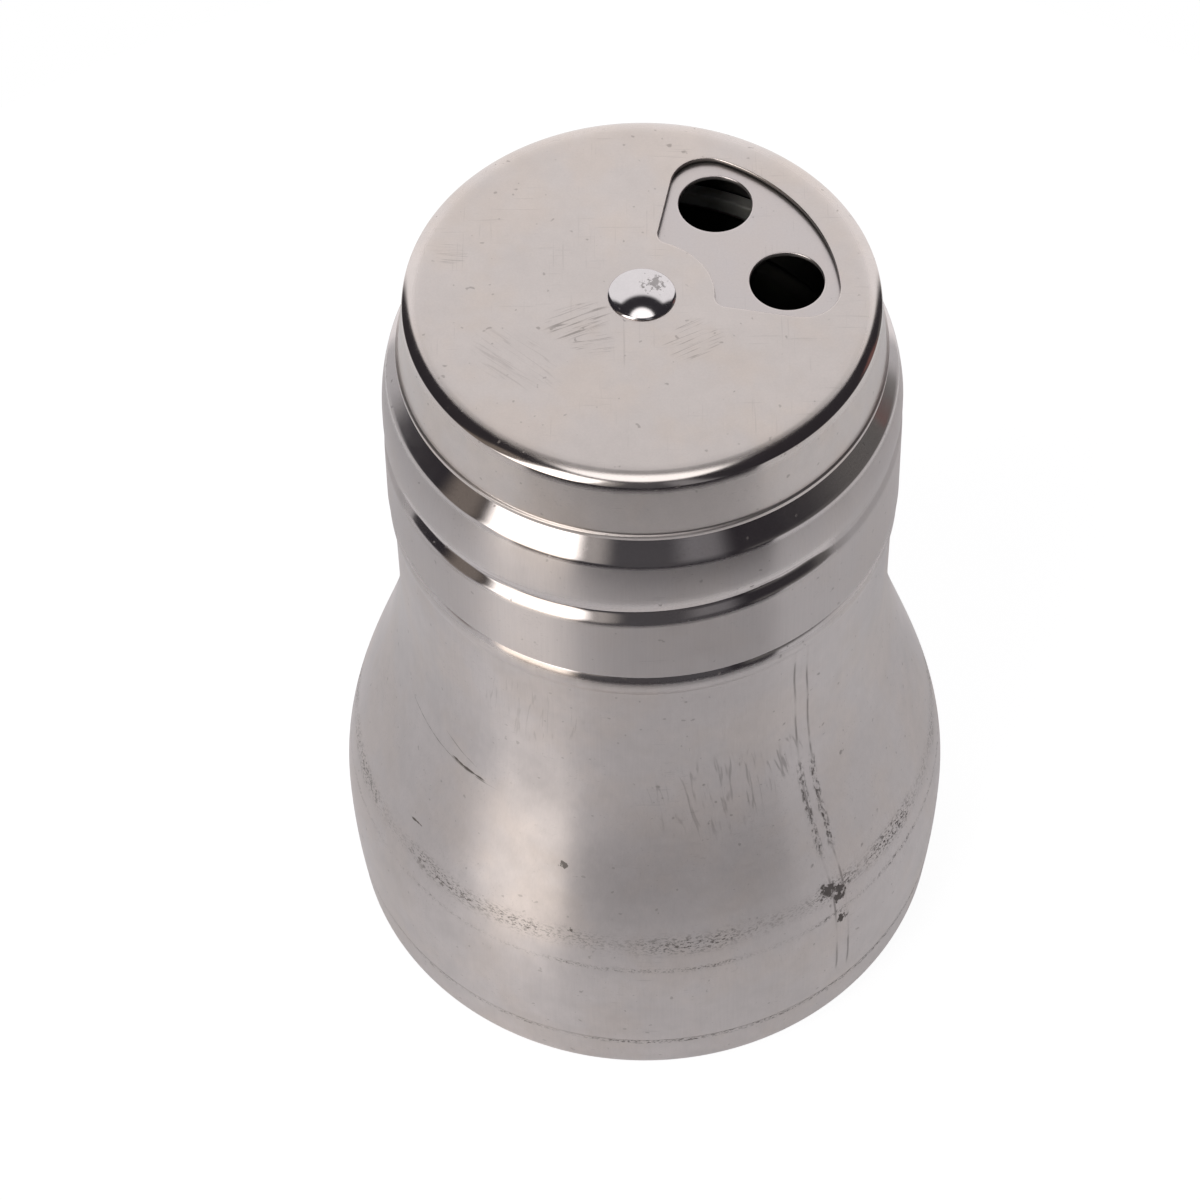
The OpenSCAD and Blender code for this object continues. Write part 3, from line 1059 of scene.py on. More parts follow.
@dataclass
class Bottle:
    """The bottle: a rolled, welded and bulged shell on a pressed base pan."""

    belly_r: float = 32.7
    belly_z: float = 15.0
    waist_z: float = 52.2
    crease_z: float = 61.6
    waist_r: float = 25.3
    bias: float = 1.15
    sheet: float = 0.5
    seam_z: float = 7.1
    base_r: float = 32.1
    base_corner: float = 3.0
    ring_w: float = 4.0
    recess: float = 0.8
    slope_w: float = 1.0
    hub_r: float = 0.4
    neck_r: float = 23.9
    lip_z: float = solid_z("body_shell", top=True)
    lip_w: float = 1.3
    lip_round: float = 0.7
    bead_r: float = 2.4
    bead_out: float = 0.4
    root_round: float = 0.3
    weld_gap: float = 0.03
    soft: float = 0.3
    fine_step: float = 0.17
    long_step: float = 1.6
    back_step: float = 2.5
    pan_step: float = 2.0
    stray: float = 0.003
    run_in: float = 1.5
    run_out: float = 0.6
    lip_free: float = 0.8
    bead_bright: Point = (1.9, 2.3)
    thread: Thread = Thread(front_z=76.99, start=0.0)

    def wall(self, z: float) -> float:
        """Radius of the wall, from the waist down to the base corner.

        Args:
            z: A height.

        Returns:
            The radius there.
        """
        if z > self.waist_z:
            return self.waist_r
        if z > self.belly_z:
            share = ((self.waist_z - z) / (self.waist_z - self.belly_z)) ** self.bias
            return self.waist_r + (self.belly_r - self.waist_r) * (1 - math.cos(math.pi * share)) / 2
        tuck = (self.belly_z - z) / (self.belly_z - self.base_corner)
        return self.belly_r - (self.belly_r - self.base_r) * tuck * tuck

    def wall_points(self, top: float, low: float, steps: int) -> Path:
        """Points of the wall between two heights."""
        heights = [top + (low - top) * i / steps for i in range(steps + 1)]
        return [(self.wall(z), z) for z in heights]

    def row_step(self, z: float) -> float:
        """Longest step between rows of the shell's outer side, short in the threaded neck."""
        return self.fine_step if self.crease_z + 6 < z < self.lip_z - 0.9 else self.long_step

    def back_row_step(self, z: float) -> float:
        """Longest step between rows of the shell's inner side."""
        return self.back_step * self.row_step(z)

    def shell(self, finish: Steel) -> bpy.types.Object:
        """Builds the shell, with its threaded neck and rolled bead.

        Args:
            finish: The shell's finish.

        Returns:
            The piece.
        """
        lip = (self.neck_r - self.lip_round, self.lip_z - self.lip_round)
        mid_r = self.waist_r + self.bead_out - self.bead_r
        turn = math.degrees(math.acos((self.waist_r - mid_r) / self.bead_r))
        mid = (mid_r, self.crease_z + self.bead_r * math.sin(math.radians(turn)))
        root_r = self.neck_r + self.root_round
        lean = math.degrees(math.acos((root_r - mid_r) / (self.bead_r + self.root_round)))
        root = (root_r, mid[1] + (self.bead_r + self.root_round) * math.sin(math.radians(lean)))
        outer = [(self.neck_r - self.lip_w, self.lip_z)]
        outer += arc(lip, self.lip_round, 90, 0)
        outer += arc(root, self.root_round, 180, 180 + lean)
        outer += arc(mid, self.bead_r, lean, -turn)[1:]
        outer += self.wall_points(self.waist_z, self.seam_z + self.weld_gap, 120)
        inner = inside_of(outer, self.sheet)
        front = thinned(softened(outer, self.soft), self.row_step, self.stray)
        back = thinned(softened(inner[::-1], self.soft), self.back_row_step, 2 * self.stray)
        bead_at = [*(self.crease_z + up for up in self.bead_bright), root[1], root[1] + 0.1]
        turns, direction = row_turns()
        m = Mesher()
        rows = []
        # Painted shade: the inner side, below the lip, is painted near black.
        for side, dull_and_shade in ((front, 0.0), (back, 1.0)):
            for r, z in side:
                heights = np.full(COLUMNS, z)
                above_root = min(max((z - root[1]) / self.run_in, 0.0), 1.0)
                below_lip = min(max((self.lip_z - self.lip_free - z) / self.run_out, 0.0), 1.0)
                push = self.thread.push(direction, heights) * above_root * below_lip
                where = np.column_stack([turns * (r + push)[:, None], heights])
                bead = float(np.interp(z, bead_at, [0, 1, 1, 0]))
                rows.append(m.row(where, bead, dull_and_shade if z < self.lip_z - self.sheet else 0.0))
        m.lathe(rows, closed=True)
        return m.build("bottle_shell", finish.material())

    def pan(self, finish: Steel) -> bpy.types.Object:
        """Builds the base pan, welded to the shell.

        Args:
            finish: The pan's finish.

        Returns:
            The piece.
        """
        mid = (self.base_r - self.base_corner, self.base_corner)
        ring_in = mid[0] - self.ring_w
        outer = self.wall_points(self.seam_z - self.weld_gap, self.base_corner + 0.02, 16)
        outer += arc(mid, self.base_corner, 0, -90)
        outer += [(ring_in, 0.0), (ring_in - self.slope_w, self.recess), (self.hub_r, self.recess)]
        inner = inside_of(outer, self.sheet)
        m = Mesher()
        under_path, above_path = softened(outer, self.soft), softened(inner[::-1], self.soft)
        under = [m.ring(r, max(z, 0.0)) for r, z in thinned(under_path, self.pan_step)]
        # Painted shade: the inner side is painted near black.
        above = [m.ring(r, z, dull_and_shade=1.0) for r, z in thinned(above_path, self.pan_step)]
        m.tip(under[-1], (0.0, 0.0, self.recess), first=False)
        m.tip(above[0], (0.0, 0.0, self.recess + self.sheet), first=True, dull_and_shade=1.0)
        m.lathe(under)
        m.lathe(above)
        m.band(above[-1], under[0])
        return m.build("bottle_pan", finish.material())

    def make(self, shell_finish: Steel, pan_finish: Steel) -> list[bpy.types.Object]:
        """Builds both pieces and fixes them to the frame.

        Args:
            shell_finish: The shell's finish.
            pan_finish: The pan's finish.

        Returns:
            The two pieces.
        """
        shell, pan = self.shell(shell_finish), self.pan(pan_finish)
        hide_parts("body_shell")
        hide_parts("base_pan")
        return [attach(piece, "bottle") for piece in (shell, pan)]


@dataclass
class Turned:
    """A small turned or stamped piece: a closed section swept round the axis."""

    name: str
    node: str
    body: str
    slot: str
    section: Path
    soft: float = 0.16
    polish: float = 0.0

    def make(self, finish: Steel | Rubber) -> bpy.types.Object:
        """Builds the piece and fixes it to the frame.

        Args:
            finish: Its finish.

        Returns:
            The piece.
        """
        loop = self.section + [self.section[0]]
        dense = softened([loop[-2], *loop, loop[1]], self.soft, 0.03)
        length = lengths_along(dense)
        lead = math.dist(loop[-2], loop[-1])
        tail = math.dist(loop[0], loop[1])
        dense = dense[(length >= lead - 1e-6) & (length <= length[-1] - tail + 1e-6)]
        m = Mesher(180)
        kept = thinned(dense, 1.0, 0.002)
        rows = [m.ring(r, z, self.polish) for r, z in kept[:-1]]
        m.lathe(rows, closed=True)
        piece = m.build(self.name, finish.material())
        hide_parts(self.node)
        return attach(piece, self.body)


@dataclass
class ScrewCap:
    """The screw cap: sieve plate, step wall, bright shoulder and threaded collar in one pressing."""

    bore_r: float = 1.65
    plate_z: float = solid_z("sieve_cap", top=True)
    step_r: float = 22.3
    step_h: float = 6.5
    step_round: float = 1.8
    shoulder_r: float = 25.0
    shoulder_h: float = 2.9
    collar_r: float = 25.65
    crown_h: float = 5.0
    low_r: float = 25.8
    low_z: float = solid_z("sieve_cap", top=False)
    sheet: float = 0.5
    station: float = 34.0
    large_r: float = 3.6
    large_pos: float = 14.1
    large_gap: float = 50.6
    medium_r: float = 1.4
    fine_r: float = 0.7
    small_pos: float = 10.0
    medium_step: float = 5.0
    fine_step: float = 3.2
    medium_counts: tuple[int, ...] = (3, 4)
    fine_counts: tuple[int, ...] = (3, 4, 5)
    fill: float = 59.4
    thread: Thread = Thread(front_z=74.79, start=90.0, side_share=0.35)
    lean_from: float = 66.1
    lean_to: float = 81.5
    lean_half: float = 2.1
    soft: float = 0.26
    groove_step: float = 0.1
    long_step: float = 1.2
    bright: float = 0.95
    flank_at: tuple[float, ...] = (0.9, 1.2, 1.5)
    flank_bright: tuple[float, ...] = (1.0, 0.85, 0.0)
    flank_bite: Point = (0.45, 0.85)
    bore_ease: float = 0.05
    large_ease: float = 0.1
    small_ease: float = 0.06

    def shoulder_z(self) -> float:
        """Height of the bend between the sloping shoulder and the collar."""
        return self.plate_z - self.step_h - self.shoulder_h

    def row_step(self, z: float) -> float:
        """Longest step between rows, short where the thread is."""
        low, high = self.thread.front_z - self.lean_half, self.thread.front_z + self.lean_half
        return self.groove_step if low < z < high else self.long_step

    def holes(self) -> list[tuple[np.ndarray, float]]:
        """Lays out the pour holes, in three stations.

        Returns:
            The outline of each hole and the radius of its eased edges.
        """
        turns = [self.station - self.large_gap / 2, self.station + self.large_gap / 2]
        found = [(self.spot(self.large_pos, t, self.large_r, 96), self.large_ease) for t in turns]
        stations = [
            (90.0, self.medium_counts, self.medium_step, self.medium_r, 40),
            (180.0, self.fine_counts, self.fine_step, self.fine_r, 28),
        ]
        for turn, counts, step, radius, count in stations:
            for ring, number in enumerate(counts):
                for k in range(number):
                    direction = self.station + turn - self.fill / 2 + self.fill * (k + 0.5) / number
                    loop = self.spot(self.small_pos + ring * step, direction, radius, count)
                    found.append((loop, self.small_ease))
        return found

    def spot(self, distance: float, direction: float, radius: float, count: int) -> np.ndarray:
        """Outline of a round hole at a distance and direction from the axis."""
        a = math.radians(direction)
        return circle((distance * math.cos(a), distance * math.sin(a)), radius, count)

    def collar_row(self, m: Mesher, r: float, z: float, side: np.ndarray, dull_and_shade: float) -> np.ndarray:
        """Adds a row of the collar that runs along the rolled thread.

        Args:
            m: The mesher.
            r: Radius of the row before the thread is pressed in.
            z: Height of the row.
            side: Points of this side of the collar, to slide the row along.
            dull_and_shade: Dullness and painted shade of the row, 1 on the inner side.

        Returns:
            The point numbers.
        """
        turns, direction = row_turns()
        off = abs(z - self.thread.front_z)
        end = self.lean_to if z > self.thread.front_z else self.lean_from
        room = abs(end - self.thread.front_z)
        share = min(max((room - off) / (room - self.lean_half), 0.0), 1.0)
        heights = z + share * self.thread.lean(direction)
        order = np.argsort(side[:, 1])
        radii = np.interp(heights, side[order, 1], side[order, 0]) if share > 0 else np.full(COLUMNS, r)
        push = self.thread.push(direction, heights)
        away = np.abs(heights - self.thread.middle(direction))
        flank = np.interp(away, self.flank_at, self.flank_bright)
        flank *= np.interp(self.thread.bite(direction), self.flank_bite, [0.0, 1.0])
        shine = np.maximum(flank, self.bright if z > self.shoulder_z() - 0.25 else 0.0)
        return m.row(np.column_stack([turns * (radii - push)[:, None], heights]), shine, dull_and_shade)

    def make(self, finish: Steel) -> bpy.types.Object:
        """Builds the cap and fixes it to the frame.

        Args:
            finish: The cap's finish.

        Returns:
            The piece.
        """
        rim = self.step_r - self.step_round
        step_z, shoulder_z = self.plate_z - self.step_h, self.shoulder_z()
        shares = [1 - i / 12 for i in range(13)]
        crown_w = self.collar_r - self.shoulder_r
        crown = [(self.collar_r - crown_w * s**2, shoulder_z + self.crown_h * (s - 1)) for s in shares]
        outer = [(rim - 0.6, self.plate_z)]
        outer += arc((rim, self.plate_z - self.step_round), self.step_round, 90, 0)
        outer += [(self.step_r, step_z), *crown, (self.low_r, self.low_z)]
        inner = inside_of(outer, self.sheet)
        m = Mesher()
        rows = []
        # Painted shade: the inner side and the plate's underside are painted near black.
        for dense, dull_and_shade in ((softened(outer, self.soft), 0.0), (softened(inner[::-1], self.soft), 1.0)):
            side = dense[(dense[:, 1] > self.low_z) & (dense[:, 1] < shoulder_z - 0.1)]
            for r, z in thinned(dense, self.row_step):
                if z > step_z - 0.2:
                    rows.append(m.ring(r, z, 0.0, dull_and_shade))
                else:
                    rows.append(self.collar_row(m, r, z, side, dull_and_shade))
        m.lathe(rows)
        low = self.plate_z - self.sheet
        holes = [(circle((0, 0), self.bore_r, 48), self.bore_ease), *self.holes()]
        walls = [m.punched(loop, self.plate_z, low, ease) for loop, ease in holes]
        m.plate(rows[0], [top for top, _ in walls], up=True)
        m.plate(rows[-1], [low for _, low in walls], up=False)
        piece = m.build("cap_pressing", finish.material())
        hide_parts("sieve_cap")
        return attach(piece, "cap")


@dataclass
class Dial:
    """The turning cover with its fan-shaped window."""

    bore_r: float = 1.65
    edge_r: float = 23.0
    top_z: float = solid_z("dial_cover", top=True)
    low_z: float = solid_z("dial_cover", top=False)
    edge_round: float = 2.9
    edge_turn: float = 38.0
    taper: float = 0.75
    lip_out: float = 0.2
    lip_h: float = 0.45
    sheet: float = 0.5
    station: float = 34.0
    window_in: float = 7.0
    window_out: float = 19.0
    window_span: float = 89.6
    out_round: float = 3.6
    in_round: float = 1.2
    bright: float = 0.95
    bright_bend: Point = (10.0, 19.0)
    bore_ease: float = 0.05
    window_ease: float = 0.1

    def window(self) -> np.ndarray:
        """Draws the fan-shaped window.

        Returns:
            Its outline, counter-clockwise.
        """
        half = self.window_span / 2
        out_pos = self.window_out - self.out_round
        in_pos = self.window_in + self.in_round
        out_dir = half - math.degrees(math.asin(self.out_round / out_pos))
        in_dir = half - math.degrees(math.asin(self.in_round / in_pos))

        def at(r: float, turn: float) -> Point:
            """A point at a distance and direction from the axis."""
            return (r * math.cos(math.radians(turn)), r * math.sin(math.radians(turn)))

        path = arc((0, 0), self.window_out, -out_dir, out_dir, 60)
        path += arc(at(out_pos, out_dir), self.out_round, out_dir, half + 90, 24)[1:]
        path += arc(at(in_pos, in_dir), self.in_round, half + 90, 180 + in_dir, 16)
        path += arc((0, 0), self.window_in, in_dir, -in_dir, 40)[1:]
        path += arc(at(in_pos, -in_dir), self.in_round, 180 - in_dir, 270 - half, 16)[1:]
        path += arc(at(out_pos, -out_dir), self.out_round, 270 - half, 360 - out_dir, 24)[:-1]
        p = np.array(path)
        a = math.radians(self.station)
        return p @ np.array([[math.cos(a), math.sin(a)], [-math.sin(a), math.cos(a)]])

    def make(self, finish: Steel) -> bpy.types.Object:
        """Builds the dial and fixes it to the frame.

        Args:
            finish: The dial's finish.

        Returns:
            The piece.
        """
        turn = math.radians(self.edge_turn)
        mid = (self.edge_r - self.edge_round * math.sin(turn), self.top_z - self.edge_round)
        skirt_r = self.edge_r + self.taper
        lip_r, lip_z = skirt_r + self.lip_out, self.low_z + self.lip_h
        outer = [(mid[0] - 0.5, self.top_z)]
        outer += arc(mid, self.edge_round, 90, 90 - self.edge_turn, 40)
        crease_z = outer[-1][1]
        outer += [(skirt_r - 0.06, lip_z + 0.10), (lip_r, lip_z), (lip_r, self.low_z)]
        inner = [(skirt_r - self.sheet + 0.05, self.low_z), (skirt_r - self.sheet - 0.03, lip_z)]
        inner += [(self.edge_r - self.sheet + 0.04, crease_z - 0.3)]
        inner += arc(mid, self.edge_round - self.sheet, 90 - self.edge_turn, 90, 40)
        inner += [(mid[0] - 0.5, self.top_z - self.sheet)]
        m = Mesher()
        rows = []
        # Painted shade: the inner side is painted near black.
        for side, soft, bright, dull_and_shade in ((outer, 0.12, self.bright, 0.0), (inner, 0.2, 0.0, 1.0)):
            for r, z in thinned(softened(side, soft, 0.02), 1.0):
                bend = math.degrees(math.asin(min(max((r - mid[0]) / self.edge_round, 0.0), 1.0)))
                edge = float(np.interp(bend, self.bright_bend, [0.0, bright]))
                rows.append(m.ring(r, z, edge if z > crease_z - 0.25 else 0.0, dull_and_shade))
        m.lathe(rows)
        bore = circle((0, 0), self.bore_r, 48)
        holes = [(bore, self.bore_ease), (self.window(), self.window_ease)]
        walls = [m.punched(hole, self.top_z, self.top_z - self.sheet, ease) for hole, ease in holes]
        m.plate(rows[0], [top for top, _ in walls], up=True)
        m.plate(rows[-1], [low for _, low in walls], up=False)
        piece = m.build("dial_pressing", finish.material())
        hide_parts("dial_cover")
        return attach(piece, "dial")


@dataclass
class RivetHead:
    """The rivet that the dial turns on, with its low polished dome."""

    base_z: float = solid_z("dial_cover", top=True)
    head_r: float = 3.3
    dome_h: float = 0.78
    bend: float = 6.4
    rim_bend: float = 62.0
    rim_w: float = 0.2
    shank_r: float = 1.6
    tail_z: float = solid_z("rivet_washer", top=False)
    tail_r: float = 2.7
    tail_h: float = 1.0
    shank_polish: float = 0.2

    def make(self, finish: Steel) -> bpy.types.Object:
        """Builds the rivet and fixes it to the frame.

        Args:
            finish: The rivet's finish.

        Returns:
            The piece.
        """
        top, low_z = self.base_z + self.dome_h, self.tail_z - self.tail_h
        radii = np.linspace(0.05, self.head_r - 0.02, 80)
        rim = np.clip((radii - self.head_r + self.rim_w) / self.rim_w, 0.0, 1.0)
        fall = np.tan(np.radians(self.bend * radii * (1 - rim) + self.rim_bend * rim))
        drop = np.concatenate([[0.0], np.cumsum((fall[1:] + fall[:-1]) / 2 * np.diff(radii))])
        path = [(float(r), float(top - d)) for r, d in zip(radii, drop)]
        path += [(self.head_r, self.base_z + 0.1), (self.head_r - 0.1, self.base_z)]
        path += [(self.shank_r, self.base_z), (self.shank_r, self.tail_z), (self.tail_r, self.tail_z)]
        path += [(self.tail_r, low_z), (0.3, low_z)]
        m = Mesher(160)
        kept = thinned(softened(path, 0.12, 0.03), 0.6, 0.0008)
        rows = [m.ring(r, z, 1.0 if z > self.base_z - 0.01 else self.shank_polish) for r, z in kept]
        m.tip(rows[0], (0.0, 0.0, top), first=True, polish=1.0)
        m.tip(rows[-1], (0.0, 0.0, low_z), first=False)
        m.lathe(rows)
        piece = m.build("rivet_polished", finish.material(), crease=60.0)
        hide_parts("rivet")
        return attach(piece, "cap")


# The studio


@dataclass(frozen=True)
class Panel:
    """A large soft panel of light, far away, given by the directions that it covers."""

    name: str
    azimuth: float
    half_width: float
    elevations: Point
    radiance: float
    colour: Colour
    edge: float = 2.0

    def light(self) -> Colour:
        """The panel's light: its colour at its radiance."""
        red, green, blue = (self.radiance * share for share in self.colour)
        return (red, green, blue)

    def mask(self, nodes: Nodes, toward: Wire, height: Wire) -> Wire:
        """Where the panel is.

        Args:
            nodes: The world's nodes.
            toward: Direction that is looked in.
            height: Elevation of that direction.

        Returns:
            A share from 0 to 1.
        """
        low, high = self.elevations
        band = height.rise(low - self.edge, low + self.edge)
        band = band * height.rise(high + self.edge, high - self.edge)
        if self.half_width >= 180.0:
            return band
        a = math.radians(self.azimuth)
        ahead = nodes.dot(toward, (math.sin(a), -math.cos(a), 0.0))
        aside = nodes.dot(toward, (math.cos(a), math.sin(a), 0.0))
        turn = abs(nodes.maths("ARCTAN2", aside, ahead)) * (180.0 / math.pi)
        return band * turn.rise(self.half_width + self.edge, self.half_width - self.edge)


@dataclass
class Studio:
    """Pale floor, soft panels of light and the camera."""

    focus: float = 120.528
    sensor: float = 36.0
    camera_distance: float = 423.0
    camera_tilt: float = 53.5
    camera_roll: float = -0.35
    camera_shift: float = -0.0365
    aim_z: float = 42.958
    floor_colour: Colour = (0.84, 0.85, 0.88)
    floor_glow: float = 1.17
    floor_share: float = 0.80
    floor_shine: float = 0.30
    floor_radius: float = 140.0
    floor_drop: float = 0.02
    white: Colour = (1.0, 1.0, 1.0)
    room: Colour = (0.034, 0.031, 0.036)
    panels: tuple[Panel, ...] = (
        Panel("sheet", 180, 130, (-60, 3), 0.60, (0.985, 0.985, 1.0)),
        Panel("back wall", 180, 44, (-30, 58), 1.02, (1.0, 0.985, 0.985), 3.0),
        Panel("side wall", 82, 44, (-4, 20), 0.14, (1.0, 0.98, 0.96), 4.0),
        Panel("overhead", 0, 180, (76, 95), 1.60, (1.0, 0.985, 0.97)),
        Panel("front wall", 3, 28, (-12, 75), 0.09, (0.95, 0.93, 1.0), 3.0),
        Panel("door", 24, 9, (30, 72), 0.28, (0.97, 0.96, 1.0), 6.0),
        Panel("reveal", -20, 5, (12, 68), 0.45, (1.0, 0.96, 0.92), 5.0),
        Panel("window", -44, 18, (8, 70), 2.90, (1.0, 0.975, 0.94), 4.0),
        Panel("sill", -41, 14, (-14, 8), 1.75, (1.0, 0.91, 0.80), 4.0),
        Panel("jamb", -74, 7, (-8, 60), 0.22, (1.0, 0.88, 0.78), 4.0),
        Panel("curtain", 113, 5, (5, 30), 0.20, (1.0, 0.52, 0.48)),
    )

    def camera(self) -> None:
        """Places the camera as the photograph's was."""
        data = bpy.data.cameras.new("camera")
        data.lens = self.focus
        data.sensor_width = self.sensor
        data.shift_x = self.camera_shift
        data.clip_start = 0.01
        data.clip_end = 50.0
        tilt, roll = math.radians(self.camera_tilt), math.radians(self.camera_roll)
        ahead = Vector((0.0, math.cos(tilt), -math.sin(tilt)))
        right = Vector((1.0, 0.0, 0.0))
        up = Vector((0.0, math.sin(tilt), math.cos(tilt)))
        turned_right = right * math.cos(roll) + up * math.sin(roll)
        turned_up = up * math.cos(roll) - right * math.sin(roll)
        place = Vector((0.0, 0.0, self.aim_z * MM)) - ahead * (self.camera_distance * MM)
        camera = bpy.data.objects.new("camera", data)
        frame_axes = Matrix((turned_right, turned_up, -ahead)).transposed().to_4x4()
        camera.matrix_world = Matrix.Translation(place) @ frame_axes
        bpy.context.scene.collection.objects.link(camera)
        bpy.context.scene.camera = camera

    def floor(self) -> None:
        """Lays the pale floor, which shows white to the camera and keeps the shaker's shadow."""
        n = Nodes(bpy.data.materials.new("floor"))
        path = n.node("ShaderNodeLightPath", {}, {})
        camera = Wire(n, path.outputs["Is Camera Ray"])
        glossy = Wire(n, path.outputs["Is Glossy Ray"])
        lit = n.node("ShaderNodeBsdfDiffuse", {}, {"Color": (*self.floor_colour, 1.0)})
        glowing = {"Color": (*self.white, 1.0), "Strength": self.floor_glow}
        glow = n.node("ShaderNodeEmission", {}, glowing)
        share = camera * self.floor_share + glossy * self.floor_shine
        mix = n.node("ShaderNodeMixShader", {}, {"Fac": share})
        n.tree.links.new(lit.outputs[0], mix.inputs[1])
        n.tree.links.new(glow.outputs[0], mix.inputs[2])
        output = n.node("ShaderNodeOutputMaterial", {}, {})
        n.tree.links.new(mix.outputs[0], output.inputs["Surface"])
        mesh = bpy.data.meshes.new("floor")
        rim = [(x, y, 0.0) for x, y in circle((0.0, 0.0), self.floor_radius * MM, 96)]
        mesh.from_pydata(rim, [], [tuple(range(len(rim)))])
        mesh.materials.append(n.owner)
        floor = bpy.data.objects.new("floor", mesh)
        floor.location.z = -self.floor_drop * MM
        bpy.context.scene.collection.objects.link(floor)

    def world(self) -> None:
        """Sets a white background for the camera, and the soft panels of light round the shaker."""
        world = bpy.data.worlds.new("studio")
        bpy.context.scene.world = world
        n = Nodes(world)
        toward = Wire(n, n.node("ShaderNodeTexCoord", {}, {}).outputs["Generated"])
        height = n.maths("ARCSINE", n.dot(toward, (0.0, 0.0, 1.0))) * (180.0 / math.pi)
        light: Wire | Colour = self.room
        for panel in self.panels:
            light = n.blend(panel.mask(n, toward, height), light, panel.light())
        camera = Wire(n, n.node("ShaderNodeLightPath", {}, {}).outputs["Is Camera Ray"])
        seen = n.node("ShaderNodeBackground", {}, {"Color": n.blend(camera, light, self.white)})
        output = n.node("ShaderNodeOutputWorld", {}, {})
        n.tree.links.new(seen.outputs[0], output.inputs["Surface"])

    def make(self) -> None:
        """Sets up the whole studio."""
        self.camera()
        self.floor()
        self.world()
        bpy.context.scene.view_settings.view_transform = "Standard"


def wall_place(bottle: Bottle, direction: float, z: float) -> Place:
    """A place on the bottle's wall, from its direction and height."""
    r, a = bottle.wall(z), math.radians(direction)
    return (r * math.cos(a), r * math.sin(a), z)


def wall_hairlines(
    bottle: Bottle,
    direction: float,
    z: float,
    half_length: float,
    half_width: float,
    strength: float,
    spacing: float,
    lean: float,
) -> Hairlines:
    """Upright hairlines in the bottle's wall.

    Args:
        bottle: The bottle.
        direction: Direction of their middle.
        z: Height of their middle.
        half_length: Half of the patch's height.
        half_width: Half of its width.
        strength: How dark they are.
        spacing: Distance between them.
        lean: Angle by which they lean to the right.

    Returns:
        The mark.
    """
    a, b = math.radians(direction), math.radians(lean)
    side = (-math.sin(a), math.cos(a))
    up = (side[0] * math.sin(b), side[1] * math.sin(b), math.cos(b))
    across = (side[0] * math.cos(b), side[1] * math.cos(b), -math.sin(b))
    middle = wall_place(bottle, direction, z)
    return Hairlines(middle, up, across, half_length, half_width, strength, spacing)


def flat_hairlines(
    x: float,
    y: float,
    z: float,
    turn: float,
    half_length: float,
    half_width: float,
    strength: float,
    spacing: float,
) -> Hairlines:
    """Hairlines in a level surface.

    Args:
        x: Place of their middle, to the right.
        y: Place of their middle, to the back.
        z: Height of the surface.
        turn: Direction in which they run.
        half_length: Half of the patch's length, along them.
        half_width: Half of its width.
        strength: How dark they are.
        spacing: Distance between them.

    Returns:
        The mark.
    """
    a = math.radians(turn)
    along, across = (math.cos(a), math.sin(a), 0.0), (-math.sin(a), math.cos(a), 0.0)
    return Hairlines((x, y, z), along, across, half_length, half_width, strength, spacing)


def bottle_marks(bottle: Bottle, seam: WeldSeam) -> tuple[Mark, ...]:
    """The wear of the bottle's wall, where the photograph shows it.

    Args:
        bottle: The bottle.
        seam: Its upright weld.

    Returns:
        The marks.
    """
    return (
        StainRing(24.4, 1.9, 0.95),
        StainRing(20.8, 0.5, 0.75, wander=0.5, grit=1.3),
        seam,
        Blot(wall_place(bottle, -52.2, 24.6), 1.5, 0.75),
        Blot(wall_place(bottle, -49.4, 23.4), 1.8, 0.75, (1.2, 1.2, 1.0)),
        Blot(wall_place(bottle, -50.0, 19.6), 1.3, 0.8),
        Blot(wall_place(bottle, -107.2, 33.8), 0.75, 0.8),
        Blot(wall_place(bottle, -104.6, 25.6), 0.5, 0.8),
        Scratch((-159.0, 42.0), (-122.5, 40.1), 26.4, 0.12, 0.55, bow=-1.0),
        Scratch((-142.5, 42.8), (-129.5, 41.1), 26.2, 0.10, 0.45, bow=-0.2),
        Scratch((-139.0, 40.2), (-127.4, 40.1), 26.6, 0.34, 0.9, bow=-0.1),
        Scratch((-145.0, 28.2), (-141.0, 28.5), 30.1, 0.22, 0.85),
        wall_hairlines(bottle, -117.0, 54.5, 5.5, 7.0, 0.16, 0.8, lean=4.0),
        wall_hairlines(bottle, -73.0, 43.5, 6.5, 9.5, 0.17, 0.9, lean=-6.0),
        wall_hairlines(bottle, -56.0, 45.0, 3.5, 3.0, 0.22, 1.0, lean=-12.0),
    )


def dial_marks(top: float) -> tuple[Mark, ...]:
    """The fine scratches in the dial's face.

    Args:
        top: Height of the face.

    Returns:
        The marks.
    """
    return (
        flat_hairlines(-6.2, -3.2, top, 24.0, 3.8, 2.4, 0.34, 0.36),
        flat_hairlines(-4.6, -6.2, top, 10.0, 2.4, 1.7, 0.42, 0.30),
        flat_hairlines(4.8, -5.6, top, 28.0, 3.4, 2.6, 0.38, 0.34),
        flat_hairlines(-18.4, 5.4, top, -4.0, 2.0, 1.5, 0.42, 0.30),
        flat_hairlines(-12.0, -8.0, top, -40.0, 5.5, 3.5, 0.12, 0.5),
    )


def flat_ring(inner_r: float, outer_r: float, low: float, high: float) -> Path:
    """Section of a flat ring, from its upper inner corner outwards and down."""
    return [(inner_r, high), (outer_r, high), (outer_r, low), (inner_r, low)]


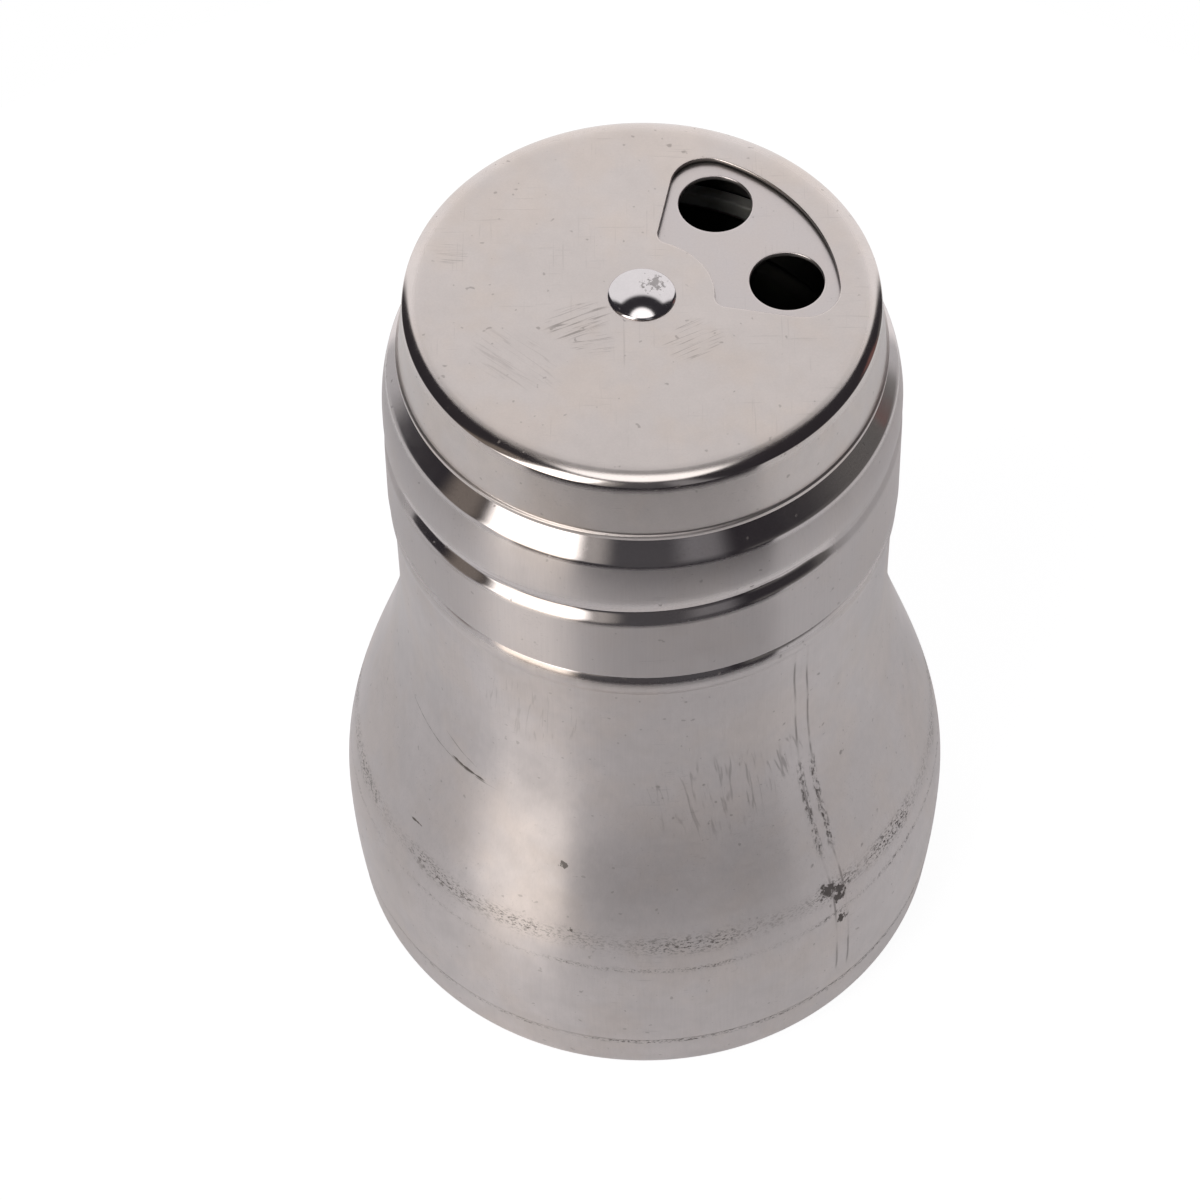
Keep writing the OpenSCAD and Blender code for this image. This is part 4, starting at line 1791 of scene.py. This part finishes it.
def main() -> None:
    """Builds the shaker and its studio, and reports each piece."""
    logging.basicConfig(level=logging.INFO, format="%(name)s: %(message)s")
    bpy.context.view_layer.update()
    bottle, screw_cap, dial = Bottle(), ScrewCap(), Dial()
    seam = WeldSeam(direction=-50.3, half_width=0.8, low=9.0, high=61.2, dark_low=29.0, dark_high=41.0)
    steel = (0.650, 0.603, 0.598)
    pan_steel = Steel(
        "brushed pan",
        steel,
        0.31,
        Grain.AXIAL,
        marks=(StainRing(6.75, 0.6, 1.0, wander=0.1),),
        mottle=0.30,
        grain_rough=0.08,
        anisotropy=0.90,
        tinge=0.45,
    )
    shell_steel = replace(
        pan_steel,
        name="brushed shell",
        polished=0.12,
        marks=bottle_marks(bottle, seam),
        seam=seam,
        turned=0.012,
    )
    cap_steel = Steel(
        "satin cap",
        steel,
        0.33,
        Grain.AXIAL,
        polished=0.11,
        mottle=0.07,
        warp=0.005,
        anisotropy=0.96,
        tinge=0.25,
    )
    dial_steel = Steel(
        "satin dial",
        (0.668, 0.614, 0.594),
        0.32,
        Grain.EVEN,
        polished=0.11,
        mottle=0.20,
        warp=0.004,
        marks=dial_marks(dial.top_z),
        tinge=0.5,
        anisotropy=0.40,
    )
    rivet_steel = Steel(
        "polished rivet",
        (0.68, 0.65, 0.66),
        0.2,
        Grain.EVEN,
        polished=0.09,
        mottle=0.14,
        warp=0.014,
        grain_depth=0.0004,
        specks=0.3,
        marks=(Blot((1.2, 0.9, dial.top_z + 0.7), 1.7, 0.45, (1.9, 1.9, 1.0)),),
    )
    plain = Steel("plain washer", (0.55, 0.52, 0.51), 0.4, Grain.EVEN)
    ring_section = flat_ring(22.35, 23.65, bottle.lip_z, bottle.lip_z + 1.8)
    under, bore_r = screw_cap.plate_z - screw_cap.sheet, screw_cap.bore_r
    dished_section = [(bore_r, under - 0.6), (4.6, under), (4.6, under - 0.4), (bore_r, under - 1.0)]
    flat_section = flat_ring(bore_r, 4.0, under - 1.6, under - 1.0)
    pieces = [
        *bottle.make(shell_steel, pan_steel),
        Turned("lid_ring", "lid_gasket", "seal", "seal_rubber", ring_section, soft=0.3).make(Rubber()),
        screw_cap.make(cap_steel),
        dial.make(dial_steel),
        RivetHead().make(rivet_steel),
        Turned("dished_washer", "spring_washer", "cap", "plain_washer", dished_section).make(plain),
        Turned("flat_washer", "rivet_washer", "cap", "plain_washer", flat_section).make(plain),
    ]
    for piece in pieces:
        log.info("%s: %d faces", piece.name, len(piece.data.polygons))
    Studio().make()


if __name__ == "__main__":
    main()
